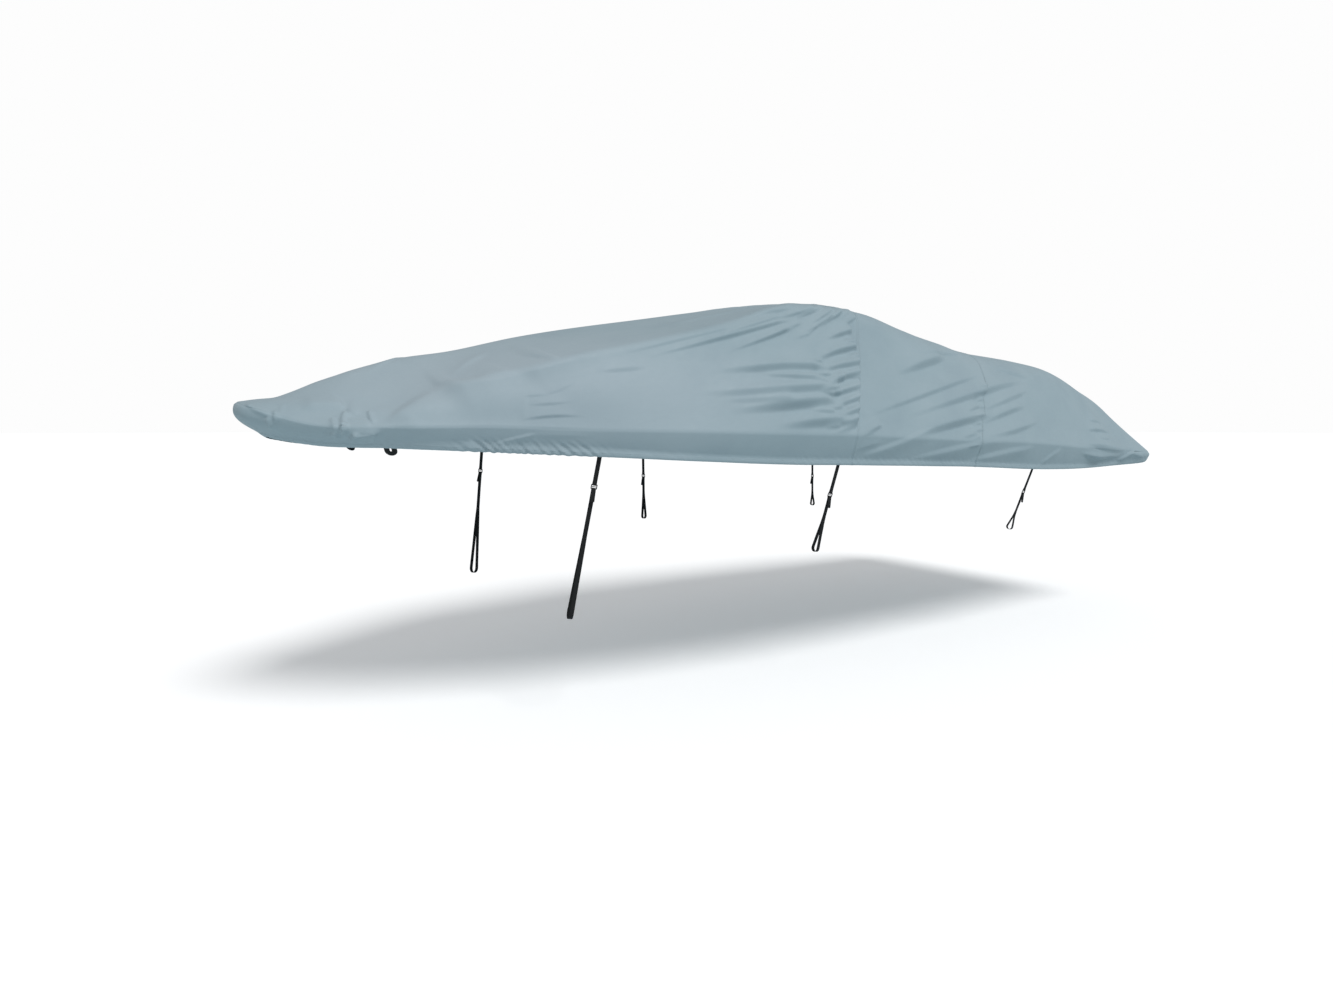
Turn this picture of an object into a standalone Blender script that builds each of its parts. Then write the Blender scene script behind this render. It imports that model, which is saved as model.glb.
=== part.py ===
"""Fitted cover for a runabout on its trailer, in metres, +Z up.

X runs aft and the port side is -Y.  The tables are taken from the bow tip, from the
centreline and from the ground; place() moves every point to the mount under the top.
"""
import math

import bmesh
import bpy
import numpy as np

# ---------------------------------------------------------------- driving dimensions
CLOTH = 0.0025          # coated polyester with its seams and folds pressed flat
SEAM_GAP = 0.0003       # between two panels that meet at a seam
SEAT_GAP = 0.0003       # between webbing and what it is sewn to or threaded through
HEM_ROLL = 0.030        # height of the rolled hem
HEM_BULGE = 0.007       # how far the rolled hem stands out
GUNWALE_ROUND = 0.022   # cloth taken up by the bend over the gunwale
SHOULDER_ROUNDS = (0.07, 0.20)   # cloth taken up by the bend at the shoulder: crisp
SHOULDER_SOFTENS = (3.2, 4.4)    # forward of the first distance along, soft abaft the second
RIDGE_ROUND = 0.14      # cloth taken up by the bend over the centre support
SIDE_BELLY = 0.018      # outward swell of the side between gunwale and shoulder
SKIRT_BELLY = 0.08      # outward swell of the skirt, as a share of the hem's tuck
END_BELLY = 0.36        # this much more where the cloth bags round the stem and the stern corner
END_ROUND = 0.022       # and this much softer there over the gunwale
BAGGY = (0.75, 6.70, 7.40)  # gone by the first distance along, back between the other two
WEBBING_WIDTH = 0.025
WEBBING_THICK = 0.0015
LAYER_PITCH = 0.0024    # centre to centre of two layers of webbing that lie together

# One row for each rib, from the stem round to the middle of the transom.  gunwale is the
# widest line, hem the lower edge, shoulder the bend between side and top, ridge the foot
# of the rib on the centreline.  aft is from the bow tip, out from the centreline, up from
# the ground, and tuck is how far the hem is drawn in under the gunwale.
RIB_COLUMNS = ("gunwale_aft", "gunwale_out", "gunwale_up", "hem_tuck", "hem_up",
               "shoulder_aft", "shoulder_out", "shoulder_up", "ridge_aft", "ridge_up")
RIBS = (
    (0.01, 0.00, 1.768, 0.150, 1.592, 0.20, 0.00, 1.790, 0.38, 1.890),
    (0.03, 0.14, 1.750, 0.132, 1.592, 0.23, 0.09, 1.785, 0.42, 1.912),
    (0.14, 0.28, 1.708, 0.114, 1.578, 0.32, 0.18, 1.785, 0.48, 1.945),
    (0.30, 0.42, 1.655, 0.100, 1.552, 0.46, 0.28, 1.800, 0.58, 1.990),
    (0.60, 0.62, 1.641, 0.080, 1.535, 0.70, 0.49, 1.770, 0.80, 2.068),
    (1.10, 0.84, 1.641, 0.070, 1.513, 1.08, 0.74, 1.890, 1.14, 2.103),
    (1.55, 0.98, 1.625, 0.065, 1.492, 1.48, 0.89, 2.005, 1.58, 2.222),
    (2.20, 1.13, 1.613, 0.060, 1.451, 2.25, 0.90, 2.180, 2.36, 2.372),
    (2.80, 1.21, 1.600, 0.060, 1.420, 3.00, 0.90, 2.375, 3.24, 2.520),
    (3.29, 1.25, 1.590, 0.060, 1.405, 3.63, 0.90, 2.405, 4.05, 2.625),
    (3.90, 1.28, 1.565, 0.060, 1.385, 4.30, 0.90, 2.277, 4.72, 2.535),
    (4.50, 1.28, 1.543, 0.060, 1.363, 4.98, 0.90, 2.178, 5.30, 2.405),
    (5.20, 1.27, 1.520, 0.060, 1.325, 5.55, 0.90, 2.160, 5.72, 2.330),
    (5.90, 1.25, 1.475, 0.060, 1.302, 6.05, 0.90, 2.112, 6.00, 2.280),
    (6.58, 1.23, 1.432, 0.055, 1.306, 6.42, 0.90, 2.000, 6.18, 2.230),
    (7.02, 1.22, 1.416, 0.042, 1.318, 6.60, 0.87, 1.930, 6.28, 2.195),
    (7.18, 1.12, 1.410, 0.044, 1.325, 6.69, 0.76, 1.920, 6.37, 2.155),
    (7.21, 0.83, 1.404, 0.042, 1.328, 6.73, 0.54, 1.950, 6.43, 2.125),
    (7.22, 0.42, 1.396, 0.040, 1.330, 6.75, 0.26, 2.000, 6.47, 2.100),
    (7.22, 0.00, 1.398, 0.040, 1.331, 6.75, 0.00, 2.020, 6.49, 2.090),
)
FRONT_SEAM_RIB = 9      # this rib carries the gathered seam
AFT_SEAM_RIB = 11       # and this one the plain seam abaft it

# Soft creases of the port side, seen from the side: aft and up of the two ends, the bow of
# the line above its chord, the half width of the crease and its height.
FOLD_COLUMNS = ("start_aft", "start_up", "end_aft", "end_up", "bow", "width", "height")
FOLDS = (
    (3.30, 2.400, 1.30, 1.990, -0.020, 0.055, 0.010),   # edge of the top plane
    (2.98, 2.290, 1.60, 1.915, -0.030, 0.050, 0.022),   # long crease from the peak
    (3.02, 2.235, 2.45, 2.065, 0.000, 0.035, 0.014),
    (3.20, 2.040, 2.50, 1.985, 0.010, 0.040, 0.016),    # soft folds that fade forward
    (3.18, 1.905, 2.40, 1.875, 0.000, 0.045, 0.016),
    (3.18, 1.800, 2.50, 1.760, 0.010, 0.040, 0.014),
    (3.18, 1.690, 2.80, 1.670, 0.000, 0.030, 0.012),
    (4.90, 2.195, 4.05, 2.165, 0.000, 0.035, 0.012),    # abaft the gathered seam
    (4.45, 2.135, 3.80, 2.005, 0.000, 0.035, 0.014),
    (4.85, 2.040, 3.35, 1.680, 0.030, 0.045, 0.020),
    (5.45, 2.010, 3.72, 1.700, 0.000, 0.050, 0.022),
    (5.15, 1.865, 4.55, 1.735, 0.000, 0.040, 0.014),
    (5.25, 1.800, 4.52, 1.645, 0.000, 0.040, 0.014),
    (4.68, 1.715, 3.30, 1.440, 0.020, 0.045, 0.022),
    (5.36, 1.685, 3.65, 1.425, 0.000, 0.045, 0.020),
    (4.75, 1.545, 3.80, 1.425, 0.000, 0.030, 0.012),
    (5.20, 1.460, 4.35, 1.432, 0.000, 0.025, 0.010),
    (5.68, 1.485, 5.32, 1.355, 0.000, 0.030, 0.010),
    (6.10, 1.670, 6.55, 1.575, 0.000, 0.035, 0.012),    # stern corner
    (5.98, 1.520, 6.60, 1.445, 0.000, 0.030, 0.010),
    (6.05, 1.398, 6.95, 1.400, 0.010, 0.025, 0.010),
    (1.10, 1.565, 1.55, 1.600, 0.015, 0.022, 0.010),    # forward skirt
    (1.24, 1.675, 1.54, 1.690, 0.012, 0.022, 0.009),    # over a fitting on the side deck
    (1.27, 1.755, 1.46, 1.775, 0.000, 0.022, 0.006),
    (0.88, 1.850, 1.30, 1.935, -0.012, 0.035, 0.010),
    (0.43, 1.610, 0.41, 1.720, 0.000, 0.028, 0.012),    # over the bow cleat
    (0.47, 1.625, 0.60, 1.600, 0.000, 0.025, 0.009),
    (0.15, 1.715, 0.18, 1.620, 0.000, 0.022, 0.008),
)
FAR_SIDE_SHIFT = 0.11   # the starboard creases lie a little elsewhere ...
FAR_SIDE_SHARE = 0.85   # ... and are a little shallower

FOLD_FREE = 0.25        # the creases fade out within this level of the ridge

# Puckers gathered into the front seam: the lowest and the highest start at low and high
# and low_aft and high_aft; beats and uneven make their spacing and reach irregular.
GATHERS = {"count": 10, "low": 1.63, "high": 2.29, "low_aft": 3.42, "high_aft": 3.69,
           "reach": 0.27, "slope": 0.075, "bow": 0.006, "width": 0.021, "height": 0.012,
           "uneven": 0.25, "spacing_beat": 2.3, "reach_beat": 4.1}

# Webbing straps, each pair at the same place to port and starboard: where its tab leaves
# the hem, how far the buckle hangs below, where its two legs part, where they pass under
# the trailer's rail, how far that lies forward and inboard, and how wide the rail is.
STRAP_COLUMNS = ("name", "hem_aft", "buckle_drop", "fork_drop", "rail_drop", "rail_forward",
                 "rail_in", "rail_width")
STRAPS = (
    ("bow", 1.65, 0.165, 0.47, 0.93, 0.17, 0.14, 0.070),
    ("mid", 3.20, 0.190, 0.36, 0.58, 0.08, 0.13, 0.050),
    ("aft", 5.26, 0.180, 0.36, 0.50, 0.10, 0.12, 0.045),
)
TAIL = 0.070            # free end of a strap past its buckle
TAB_LAP = 0.028         # length of tab sewn up behind the hem
TAB_BEND = 0.008        # the tab bends toward the rail this far below the hem
BUCKLE = {"width": 0.036, "length": 0.026, "thick": 0.0044, "side_bar": 0.0045,
          "bar": 0.0044}
STRAP_FORM = {"below_hem": 0.030, "near_bar": 0.022, "tail_out": 0.021, "tail_half": 0.010,
              "tail_late": 0.0165, "past_bar": 0.025, "part_above": 0.020,
              "part_below": 0.030, "part_open": 0.10, "end_lift": 0.4}
BOW_LOOP = {"hem_aft": 0.645, "outer": 0.033, "inner": 0.008, "straight": 0.018,
            "lap": 0.022, "thick": 0.0020, "seat": 0.0022}

ACROSS_LEVELS = (0.0, 0.08, 0.17, 0.34, 0.62, 0.88, 1.0, 1.04, 1.13, 1.23, 1.33, 1.43, 1.54,
                 1.66, 1.79, 1.92, 2.0, 2.08, 2.28, 2.60, 3.0)
COLUMN_ZONES = ((0.0, 0.095), (1.0, 0.16), (2.7, 0.095), (6.3, 0.15), (7.1, 0.08),
                (7.9, 0.20))  # from this distance along the gunwale, about this step
COLUMN_MARGIN = 0.05    # two column marks are no closer than this
GATHER_ZONE = {"reach": 0.40, "step": 0.045, "low_level": 1.1, "high_level": 2.0, "cuts": 2}

COLOURS = {"cover_cloth": (0.325, 0.410, 0.450), "webbing": (0.012, 0.012, 0.013),
           "buckle_plastic": (0.016, 0.016, 0.017)}
ROUGHNESS = {"cover_cloth": 0.72, "webbing": 0.80, "buckle_plastic": 0.42}


# ---------------------------------------------------------------- the cover's surface
def column(table, names, name):
    return np.array([row[names.index(name)] for row in table])


def rib_column(name):
    return column(RIBS, RIB_COLUMNS, name)


def along_gunwale():
    """Distance of each rib from the stem, measured along the gunwale in plan."""
    steps = np.hypot(np.diff(rib_column("gunwale_aft")), np.diff(rib_column("gunwale_out")))
    return np.concatenate(([0.0], np.cumsum(steps)))


ALONG = along_gunwale()
FRONT_SEAM = ALONG[FRONT_SEAM_RIB]
AFT_SEAM = ALONG[AFT_SEAM_RIB]
TRANSOM = ALONG[-1]


def smooth_curve(values, mirror):
    """Smooth curve through one column.  It runs on past the stem and the transom onto the
    other side, where mirror is -1 for the distances out from the centreline."""
    knots = np.concatenate((-ALONG[:0:-1], ALONG, 2.0 * TRANSOM - ALONG[-2::-1]))
    data = np.concatenate((mirror * values[:0:-1], values, mirror * values[-2::-1]))
    slope = np.gradient(data, knots)

    def at(along):
        i = int(np.searchsorted(knots, along, side="right")) - 1
        i = min(max(i, 0), len(knots) - 2)
        gap = knots[i + 1] - knots[i]
        t = (along - knots[i]) / gap
        return ((2 * t**3 - 3 * t**2 + 1) * data[i] + (t**3 - 2 * t**2 + t) * gap * slope[i]
                + (3 * t**2 - 2 * t**3) * data[i + 1] + (t**3 - t**2) * gap * slope[i + 1])
    return at


CURVES = {name: smooth_curve(rib_column(name), -1 if name.endswith("_out") else 1)
          for name in RIB_COLUMNS}


def rib_point(name, along):
    return np.array([CURVES[name + "_aft"](along), -CURVES[name + "_out"](along),
                     CURVES[name + "_up"](along)])


def outward(along):
    """Level direction square to the gunwale of the port side."""
    step = 0.01
    run = rib_point("gunwale", along + step) - rib_point("gunwale", along - step)
    return np.array([run[1], -run[0], 0.0]) / math.hypot(run[0], run[1])


def rib_points(along):
    gunwale = rib_point("gunwale", along)
    shoulder = rib_point("shoulder", along)
    ridge = np.array([CURVES["ridge_aft"](along), 0.0, CURVES["ridge_up"](along)])
    hem = gunwale - outward(along) * CURVES["hem_tuck"](along)
    hem[2] = CURVES["hem_up"](along)
    return hem, gunwale, shoulder, ridge


def length(vector):
    return max(math.sqrt(float(vector @ vector)), 1e-9)


def rounded(points, rounds, level):
    """Point of a chain of straight runs whose inner corners are rounded.  level counts the
    runs; rounds gives the length of run that each corner takes."""
    run = min(int(level), len(points) - 2)
    spans = [length(points[k + 1] - points[k]) for k in range(len(points) - 1)]
    for corner in (run, run + 1):
        if corner == 0 or corner == len(points) - 1:
            continue
        low = min(rounds[corner] / spans[corner - 1], 0.45)
        high = min(rounds[corner] / spans[corner], 0.45)
        if corner - low < level < corner + high:
            before = points[corner] + (points[corner - 1] - points[corner]) * low
            after = points[corner] + (points[corner + 1] - points[corner]) * high
            if level < corner:
                t = 0.5 * (level - corner + low) / low
            else:
                t = 0.5 + 0.5 * (level - corner) / high
            return (1 - t)**2 * before + 2 * t * (1 - t) * points[corner] + t**2 * after
    return points[run] + (points[run + 1] - points[run]) * (level - run)


def soft_step(t):
    t = min(max(t, 0.0), 1.0)
    return t * t * (3 - 2 * t)


def base_point(along, across):
    """Point of the smooth cover.  across runs from -3 (port hem) over the gunwale (-2),
    the shoulder (-1) and the ridge (0) to +3 (starboard hem)."""
    hem, gunwale, shoulder, ridge = rib_points(along)
    far_shoulder = shoulder * np.array([1.0, -1.0, 1.0])
    level = 3.0 - abs(across)
    crisp, soft = SHOULDER_ROUNDS
    first, last = SHOULDER_SOFTENS
    bend = crisp + (soft - crisp) * soft_step((along - first) / (last - first))
    baggy = 1 - soft_step(along / BAGGY[0]) + soft_step((along - BAGGY[1]) / (BAGGY[2] - BAGGY[1]))
    edge = GUNWALE_ROUND + END_ROUND * baggy
    point = rounded((hem, gunwale, shoulder, ridge, far_shoulder),
                    (0.0, edge, bend, RIDGE_ROUND), level)
    out = outward(along)
    if level < 1:
        skirt = length(gunwale - hem)
        belly = SKIRT_BELLY + END_BELLY * baggy
        swell = belly * CURVES["hem_tuck"](along) * math.sin(math.pi * level)
        roll = level * skirt / HEM_ROLL
        if roll < 1:
            swell += HEM_BULGE * math.sin(math.pi * roll)
        point = point + out * swell
    elif level < 2:
        rise = shoulder - gunwale
        square = out - rise * (out @ rise) / max(rise @ rise, 1e-9)
        point = point + square * SIDE_BELLY * math.sin(math.pi * (level - 1))**2
    return point * np.array([1.0, 1.0 if across <= 0 else -1.0, 1.0])


def crease_height(aft, up, row):
    """Height of one crease at a place seen from the side.  Its lower flank is the steeper."""
    start_aft, start_up, end_aft, end_up, bow, width, height = row
    run_aft = end_aft - start_aft
    run_up = end_up - start_up
    span = math.hypot(run_aft, run_up)
    t = ((aft - start_aft) * run_aft + (up - start_up) * run_up) / span**2
    if t <= 0 or t >= 1:
        return 0.0
    upward = 1.0 if run_aft >= 0 else -1.0
    away = upward * ((up - start_up) * run_aft - (aft - start_aft) * run_up) / span
    away -= bow * 4 * t * (1 - t)
    flank = width if away > 0 else 0.6 * width
    fade = soft_step(t / 0.22) * soft_step((1 - t) / 0.3)
    return height * fade * math.exp(-(away / flank)**2)


def gather_rows():
    """The puckers that run forward and down from the front seam, with a crease's columns."""
    rows = []
    for k in range(GATHERS["count"]):
        stray = GATHERS["uneven"] * math.sin(GATHERS["spacing_beat"] * k)
        share = (k + stray) / (GATHERS["count"] - 1)
        up = GATHERS["low"] + share * (GATHERS["high"] - GATHERS["low"])
        aft = GATHERS["low_aft"] + share * (GATHERS["high_aft"] - GATHERS["low_aft"])
        stray = GATHERS["uneven"] * math.sin(GATHERS["reach_beat"] * k)
        reach = GATHERS["reach"] * (1.0 + stray)
        rows.append((aft, up, aft - reach, up - GATHERS["slope"], GATHERS["bow"],
                     GATHERS["width"], GATHERS["height"]))
    return rows


CREASES = FOLDS + tuple(gather_rows())


def fold_height(point, across):
    """How far the folds lift the cloth at a point of the smooth cover."""
    aft, up = point[0], point[2]
    share = 1.0
    if across > 0:
        aft += FAR_SIDE_SHIFT * math.sin(1.7 * aft)
        share = FAR_SIDE_SHARE
    total = sum(crease_height(aft, up, row) for row in CREASES)
    return total * share * min(1.0, abs(across) / FOLD_FREE)


def facing(place_at, along, across):
    """Outward direction of a surface, from steps taken along and across it."""
    step = 0.004
    run = place_at(along + 0.01, across) - place_at(along - 0.01, across)
    rise = place_at(along, across + step) - place_at(along, across - step)
    normal = np.cross(run, rise)
    if length(normal) < 1e-8:
        return np.array([0.0, 0.0, 1.0])
    return normal / length(normal)


def outer_point(along, across):
    base = base_point(along, across)
    lift = fold_height(base, across)
    if lift < 1e-5:
        return base
    return base + facing(base_point, along, across) * lift


PEAK = outer_point(FRONT_SEAM, 0.0)
ORIGIN = np.array([PEAK[0], 0.0, PEAK[2] - CLOTH])    # underside of the top at its peak


# ---------------------------------------------------------------- meshes
def place(point):
    """Move a point from the tables' zero to the mount under the top."""
    return point - ORIGIN


def make_object(name, bm, slot):
    bmesh.ops.recalc_face_normals(bm, faces=bm.faces)
    mesh = bpy.data.meshes.new(name)
    bm.to_mesh(mesh)
    bm.free()
    mesh.shade_smooth()
    mesh.set_sharp_from_angle(angle=math.radians(50))
    mesh.materials.append(bpy.data.materials[slot])
    part = bpy.data.objects.new(name, mesh)
    bpy.context.scene.collection.objects.link(part)


def make_material(slot):
    material = bpy.data.materials.new(slot)
    material.use_nodes = True
    shader = material.node_tree.nodes["Principled BSDF"]
    shader.inputs["Base Color"].default_value = (*COLOURS[slot], 1.0)
    shader.inputs["Roughness"].default_value = ROUGHNESS[slot]
    shader.inputs["Metallic"].default_value = 0.0


# ---------------------------------------------------------------- cover panels
def along_of_hem(aft):
    """Distance along the gunwale at which the port hem is this far aft."""
    low, high = 0.0, ALONG[-5]
    for _ in range(40):
        middle = 0.5 * (low + high)
        if base_point(middle, -3.0)[0] < aft:
            low = middle
        else:
            high = middle
    return 0.5 * (low + high)


def panel_columns(start, stop):
    """Distances along the gunwale of the panel's columns; one lies at each strap."""
    gathered = FRONT_SEAM - GATHER_ZONE["reach"]
    hangers = [row[1] for row in STRAPS] + [BOW_LOOP["hem_aft"]]
    marks = [zone for zone, _ in COLUMN_ZONES] + [along_of_hem(at) for at in hangers]
    marks.append(gathered)
    marks = [at for at in marks if start + COLUMN_MARGIN < at < stop - COLUMN_MARGIN]
    marks = sorted([start] + marks) + [stop]
    places = []
    for low, high in zip(marks, marks[1:]):
        middle = 0.5 * (low + high)
        step = [size for zone, size in COLUMN_ZONES if zone <= middle][-1]
        if gathered < middle < FRONT_SEAM:
            step = GATHER_ZONE["step"]
        count = max(1, round((high - low) / step))
        places += [low + (high - low) * k / count for k in range(count)]
    return places + [stop]


def in_gathers(edge):
    """True for an edge up the side where the puckers need closer rows, on both panels."""
    low, high = sorted(edge.verts, key=lambda vert: vert.co.y)
    upright = abs(low.co.x - high.co.x) < 1e-6
    before_seam = FRONT_SEAM - low.co.x
    near = -SEAM_GAP < before_seam < GATHER_ZONE["reach"] - 0.5 * GATHER_ZONE["step"]
    levels = sorted((abs(low.co.y), abs(high.co.y)))
    held = GATHER_ZONE["low_level"] < levels[0] and levels[1] < GATHER_ZONE["high_level"]
    return upright and near and held


def flat_panel(start, stop):
    """The panel laid flat: x is the distance along the gunwale, y the level across."""
    bm = bmesh.new()
    levels = [level - 3.0 for level in ACROSS_LEVELS]
    levels += [-level for level in levels[-2::-1]]
    grid = [[bm.verts.new((along, across, 0.0)) for across in levels]
            for along in panel_columns(start, stop)]
    for left, right in zip(grid, grid[1:]):
        for k in range(len(levels) - 1):
            bm.faces.new((left[k], right[k], right[k + 1], left[k + 1]))
    close = [edge for edge in bm.edges if in_gathers(edge)]
    if close:
        bmesh.ops.subdivide_edges(bm, edges=close, cuts=GATHER_ZONE["cuts"],
                                  use_grid_fill=True)
    bmesh.ops.triangulate(bm, faces=bm.faces)
    return bm


def make_panel(name, start, stop):
    """Drape a flat panel over the boat and give it the thickness of the cloth."""
    flat = flat_panel(start, stop)
    bm = bmesh.new()
    outer, inner = {}, {}
    for vert in flat.verts:
        along, across = vert.co.x, vert.co.y
        top = outer_point(along, across)
        normal = facing(outer_point, along, across)
        if along < 1e-6 or along > TRANSOM - 1e-6:
            top[1] = 0.0
            normal[1] = 0.0
            normal /= length(normal)
        outer[vert] = bm.verts.new(place(top))
        inner[vert] = bm.verts.new(place(top - normal * CLOTH))
    for face in flat.faces:
        bm.faces.new([outer[vert] for vert in face.verts])
        bm.faces.new([inner[vert] for vert in reversed(face.verts)])
    for edge in flat.edges:
        first, second = edge.verts
        on_fold = all(vert.co.x < 1e-6 or vert.co.x > TRANSOM - 1e-6 for vert in edge.verts)
        if edge.is_boundary and not on_fold:
            bm.faces.new((outer[first], outer[second], inner[second], inner[first]))
    flat.free()
    bmesh.ops.remove_doubles(bm, verts=bm.verts, dist=1e-4)
    bmesh.ops.triangulate(bm, faces=bm.faces)
    make_object(name, bm, "cover_cloth")


# ---------------------------------------------------------------- webbing and buckles
def swept_band(name, path, wides):
    """Webbing along a path; wides gives its width direction at each point."""
    bm = bmesh.new()
    rings = []
    for k, point in enumerate(path):
        run = path[min(k + 1, len(path) - 1)] - path[max(k - 1, 0)]
        wide = wides[k] - run * (wides[k] @ run) / (run @ run)
        wide = wide / length(wide) * 0.5 * WEBBING_WIDTH
        face = np.cross(run, wide)
        face = face / length(face) * 0.5 * WEBBING_THICK
        ring = (point - wide - face, point + wide - face, point + wide + face,
                point - wide + face)
        rings.append([bm.verts.new(place(corner)) for corner in ring])
    for before, after in zip(rings, rings[1:]):
        for k in range(4):
            bm.faces.new((before[k], before[(k + 1) % 4], after[(k + 1) % 4], after[k]))
    bm.faces.new(rings[0][::-1])
    bm.faces.new(rings[-1])
    make_object(name, bm, "webbing")


def hanger_frame(aft):
    """The hem there, and directions level outward, down the skirt and square to it."""
    along = along_of_hem(aft)
    hem, gunwale, _, _ = rib_points(along)
    out = outward(along)
    down_skirt = (hem - gunwale) / length(hem - gunwale)
    square = out - down_skirt * (out @ down_skirt)
    return hem, out, down_skirt, square / length(square)


def arc(centre, radius, first, last, steps):
    """Points (down, out) round a centre; angles in degrees from the outward direction
    towards down."""
    angles = np.radians(np.linspace(first, last, steps))
    return [(centre[0] + radius * math.sin(a), centre[1] + radius * math.cos(a))
            for a in angles]


def make_strap(row, side):
    """One tab, its buckle and the strap below it; side is -1 to port and 1 to starboard."""
    name, hem_aft, buckle_drop, fork_drop, rail_drop, rail_forward, rail_in, rail_width = row
    hem, out, down_skirt, square = hanger_frame(hem_aft)
    down = -out * rail_in + np.array([-rail_forward, 0.0, -rail_drop])
    down /= length(down)
    off = out - down * (out @ down)
    off /= length(off)
    wide = np.cross(off, down)
    up_skirt = square * (down @ square) - down
    up_skirt /= length(up_skirt)
    skirt_wide = np.cross(up_skirt, square)
    mirror = np.array([1.0, -side, 1.0])
    label = name + ("_port" if side < 0 else "_starboard")
    half_bar = 0.5 * BUCKLE["bar"]
    wrap = half_bar * math.sqrt(2) + SEAT_GAP + 0.5 * WEBBING_THICK
    half_pitch = 0.5 * LAYER_PITCH
    seat = CLOTH + 2 * SEAT_GAP + 0.5 * WEBBING_THICK

    def spot(origin, point):
        return (origin + down * point[0] + off * point[1]) * mirror

    # the tab: both layers lie flat behind the hem and pass round the upper bar
    root = hem - square * (seat + half_pitch)
    near_bar = buckle_drop - STRAP_FORM["near_bar"]
    loop = [(STRAP_FORM["below_hem"], half_pitch), (near_bar, half_pitch)]
    loop += arc((buckle_drop, 0.0), wrap, 0, 180, 7)
    loop += [(near_bar, -half_pitch), (STRAP_FORM["below_hem"], -half_pitch)]
    lapped = [root + square * shift + up_skirt * rise
              for shift, rise in ((half_pitch, TAB_LAP), (half_pitch, -TAB_BEND))]
    back = [root - square * half_pitch + up_skirt * rise for rise in (-TAB_BEND, TAB_LAP)]
    path = [point * mirror for point in lapped]
    path += [spot(root, point) for point in loop]
    path += [point * mirror for point in back]
    wides = [skirt_wide * mirror] * 2 + [wide * mirror] * len(loop) + [skirt_wide * mirror] * 2
    swept_band("tab_" + label, path, wides)

    # the buckle: a frame with a bar at each end and one across the middle
    bar_pitch = 0.5 * (BUCKLE["length"] - BUCKLE["bar"])
    middle = spot(root, (buckle_drop + bar_pitch, 0.0))
    make_buckle("buckle_" + label, middle, wide * mirror, down * mirror, off * mirror)

    # the strap: free tail, round the lower bar, down, round the rail and up again
    low_bar = buckle_drop + 2 * bar_pitch
    rail_turn = (rail_drop - 0.5 * rail_width, 0.0)
    past_bar = low_bar + STRAP_FORM["past_bar"]
    above = fork_drop - STRAP_FORM["part_above"]
    below = fork_drop + STRAP_FORM["part_below"]
    opened = STRAP_FORM["part_open"] * rail_width
    run = [(low_bar + TAIL, STRAP_FORM["tail_out"]),
           (low_bar + 0.70 * TAIL, STRAP_FORM["tail_late"]),
           (low_bar + 0.35 * TAIL, STRAP_FORM["tail_half"])]
    run += arc((low_bar, 0.0), wrap, 0, -180, 7)
    run += [(past_bar, -half_pitch), (above, -half_pitch), (below, -opened)]
    run += arc(rail_turn, 0.5 * rail_width, 180, 0, 9)
    run += [(below, opened), (above, half_pitch), (past_bar, half_pitch),
            (low_bar + half_bar + SEAT_GAP, STRAP_FORM["end_lift"] * half_pitch)]
    path = [spot(root, point) for point in run]
    swept_band("strap_" + label, path, [wide * mirror] * len(path))


def make_buckle(name, middle, wide, down, off):
    """Three-bar slider: a plate of cells with two slots left out."""
    half_width = 0.5 * BUCKLE["width"]
    half_length = 0.5 * BUCKLE["length"]
    half_bar = 0.5 * BUCKLE["bar"]
    across = (-half_width, BUCKLE["side_bar"] - half_width, half_width - BUCKLE["side_bar"],
              half_width)
    lengthwise = (-half_length, BUCKLE["bar"] - half_length, -half_bar, half_bar,
                  half_length - BUCKLE["bar"], half_length)
    bm = bmesh.new()
    corner = [[bm.verts.new(place(middle + wide * x + down * y - off * 0.5 * BUCKLE["thick"]))
               for y in lengthwise] for x in across]
    for i in range(3):
        for j in range(5):
            if i == 1 and j in (1, 3):
                continue
            bm.faces.new((corner[i][j], corner[i + 1][j], corner[i + 1][j + 1],
                          corner[i][j + 1]))
    raised = bmesh.ops.extrude_face_region(bm, geom=bm.faces[:])["geom"]
    bmesh.ops.translate(bm, vec=off * BUCKLE["thick"],
                        verts=[item for item in raised if isinstance(item, bmesh.types.BMVert)])
    make_object(name, bm, "buckle_plastic")


def make_bow_loop(side):
    """Webbing folded into a flat U and sewn up behind the hem near the bow."""
    hem, out, down_skirt, square = hanger_frame(BOW_LOOP["hem_aft"])
    sideways = np.cross(square, down_skirt)
    mirror = np.array([1.0, -side, 1.0])
    root = hem - square * (CLOTH + BOW_LOOP["seat"] + BOW_LOOP["thick"])
    turn = (BOW_LOOP["straight"], 0.0)
    top, outer, inner = -BOW_LOOP["lap"], BOW_LOOP["outer"], BOW_LOOP["inner"]
    outline = [(top, -outer)] + arc(turn, outer, 180, 0, 15)
    outline += [(top, outer), (top, inner)] + arc(turn, inner, 0, 180, 9)
    outline += [(top, -inner)]
    bm = bmesh.new()
    ring = [bm.verts.new(place((root + down_skirt * y + sideways * x) * mirror))
            for y, x in outline]
    face = bm.faces.new(ring)
    raised = bmesh.ops.extrude_face_region(bm, geom=[face])["geom"]
    bmesh.ops.translate(bm, vec=square * mirror * BOW_LOOP["thick"],
                        verts=[item for item in raised if isinstance(item, bmesh.types.BMVert)])
    bmesh.ops.triangulate(bm, faces=bm.faces)
    make_object("loop_port" if side < 0 else "loop_starboard", bm, "webbing")


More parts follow.
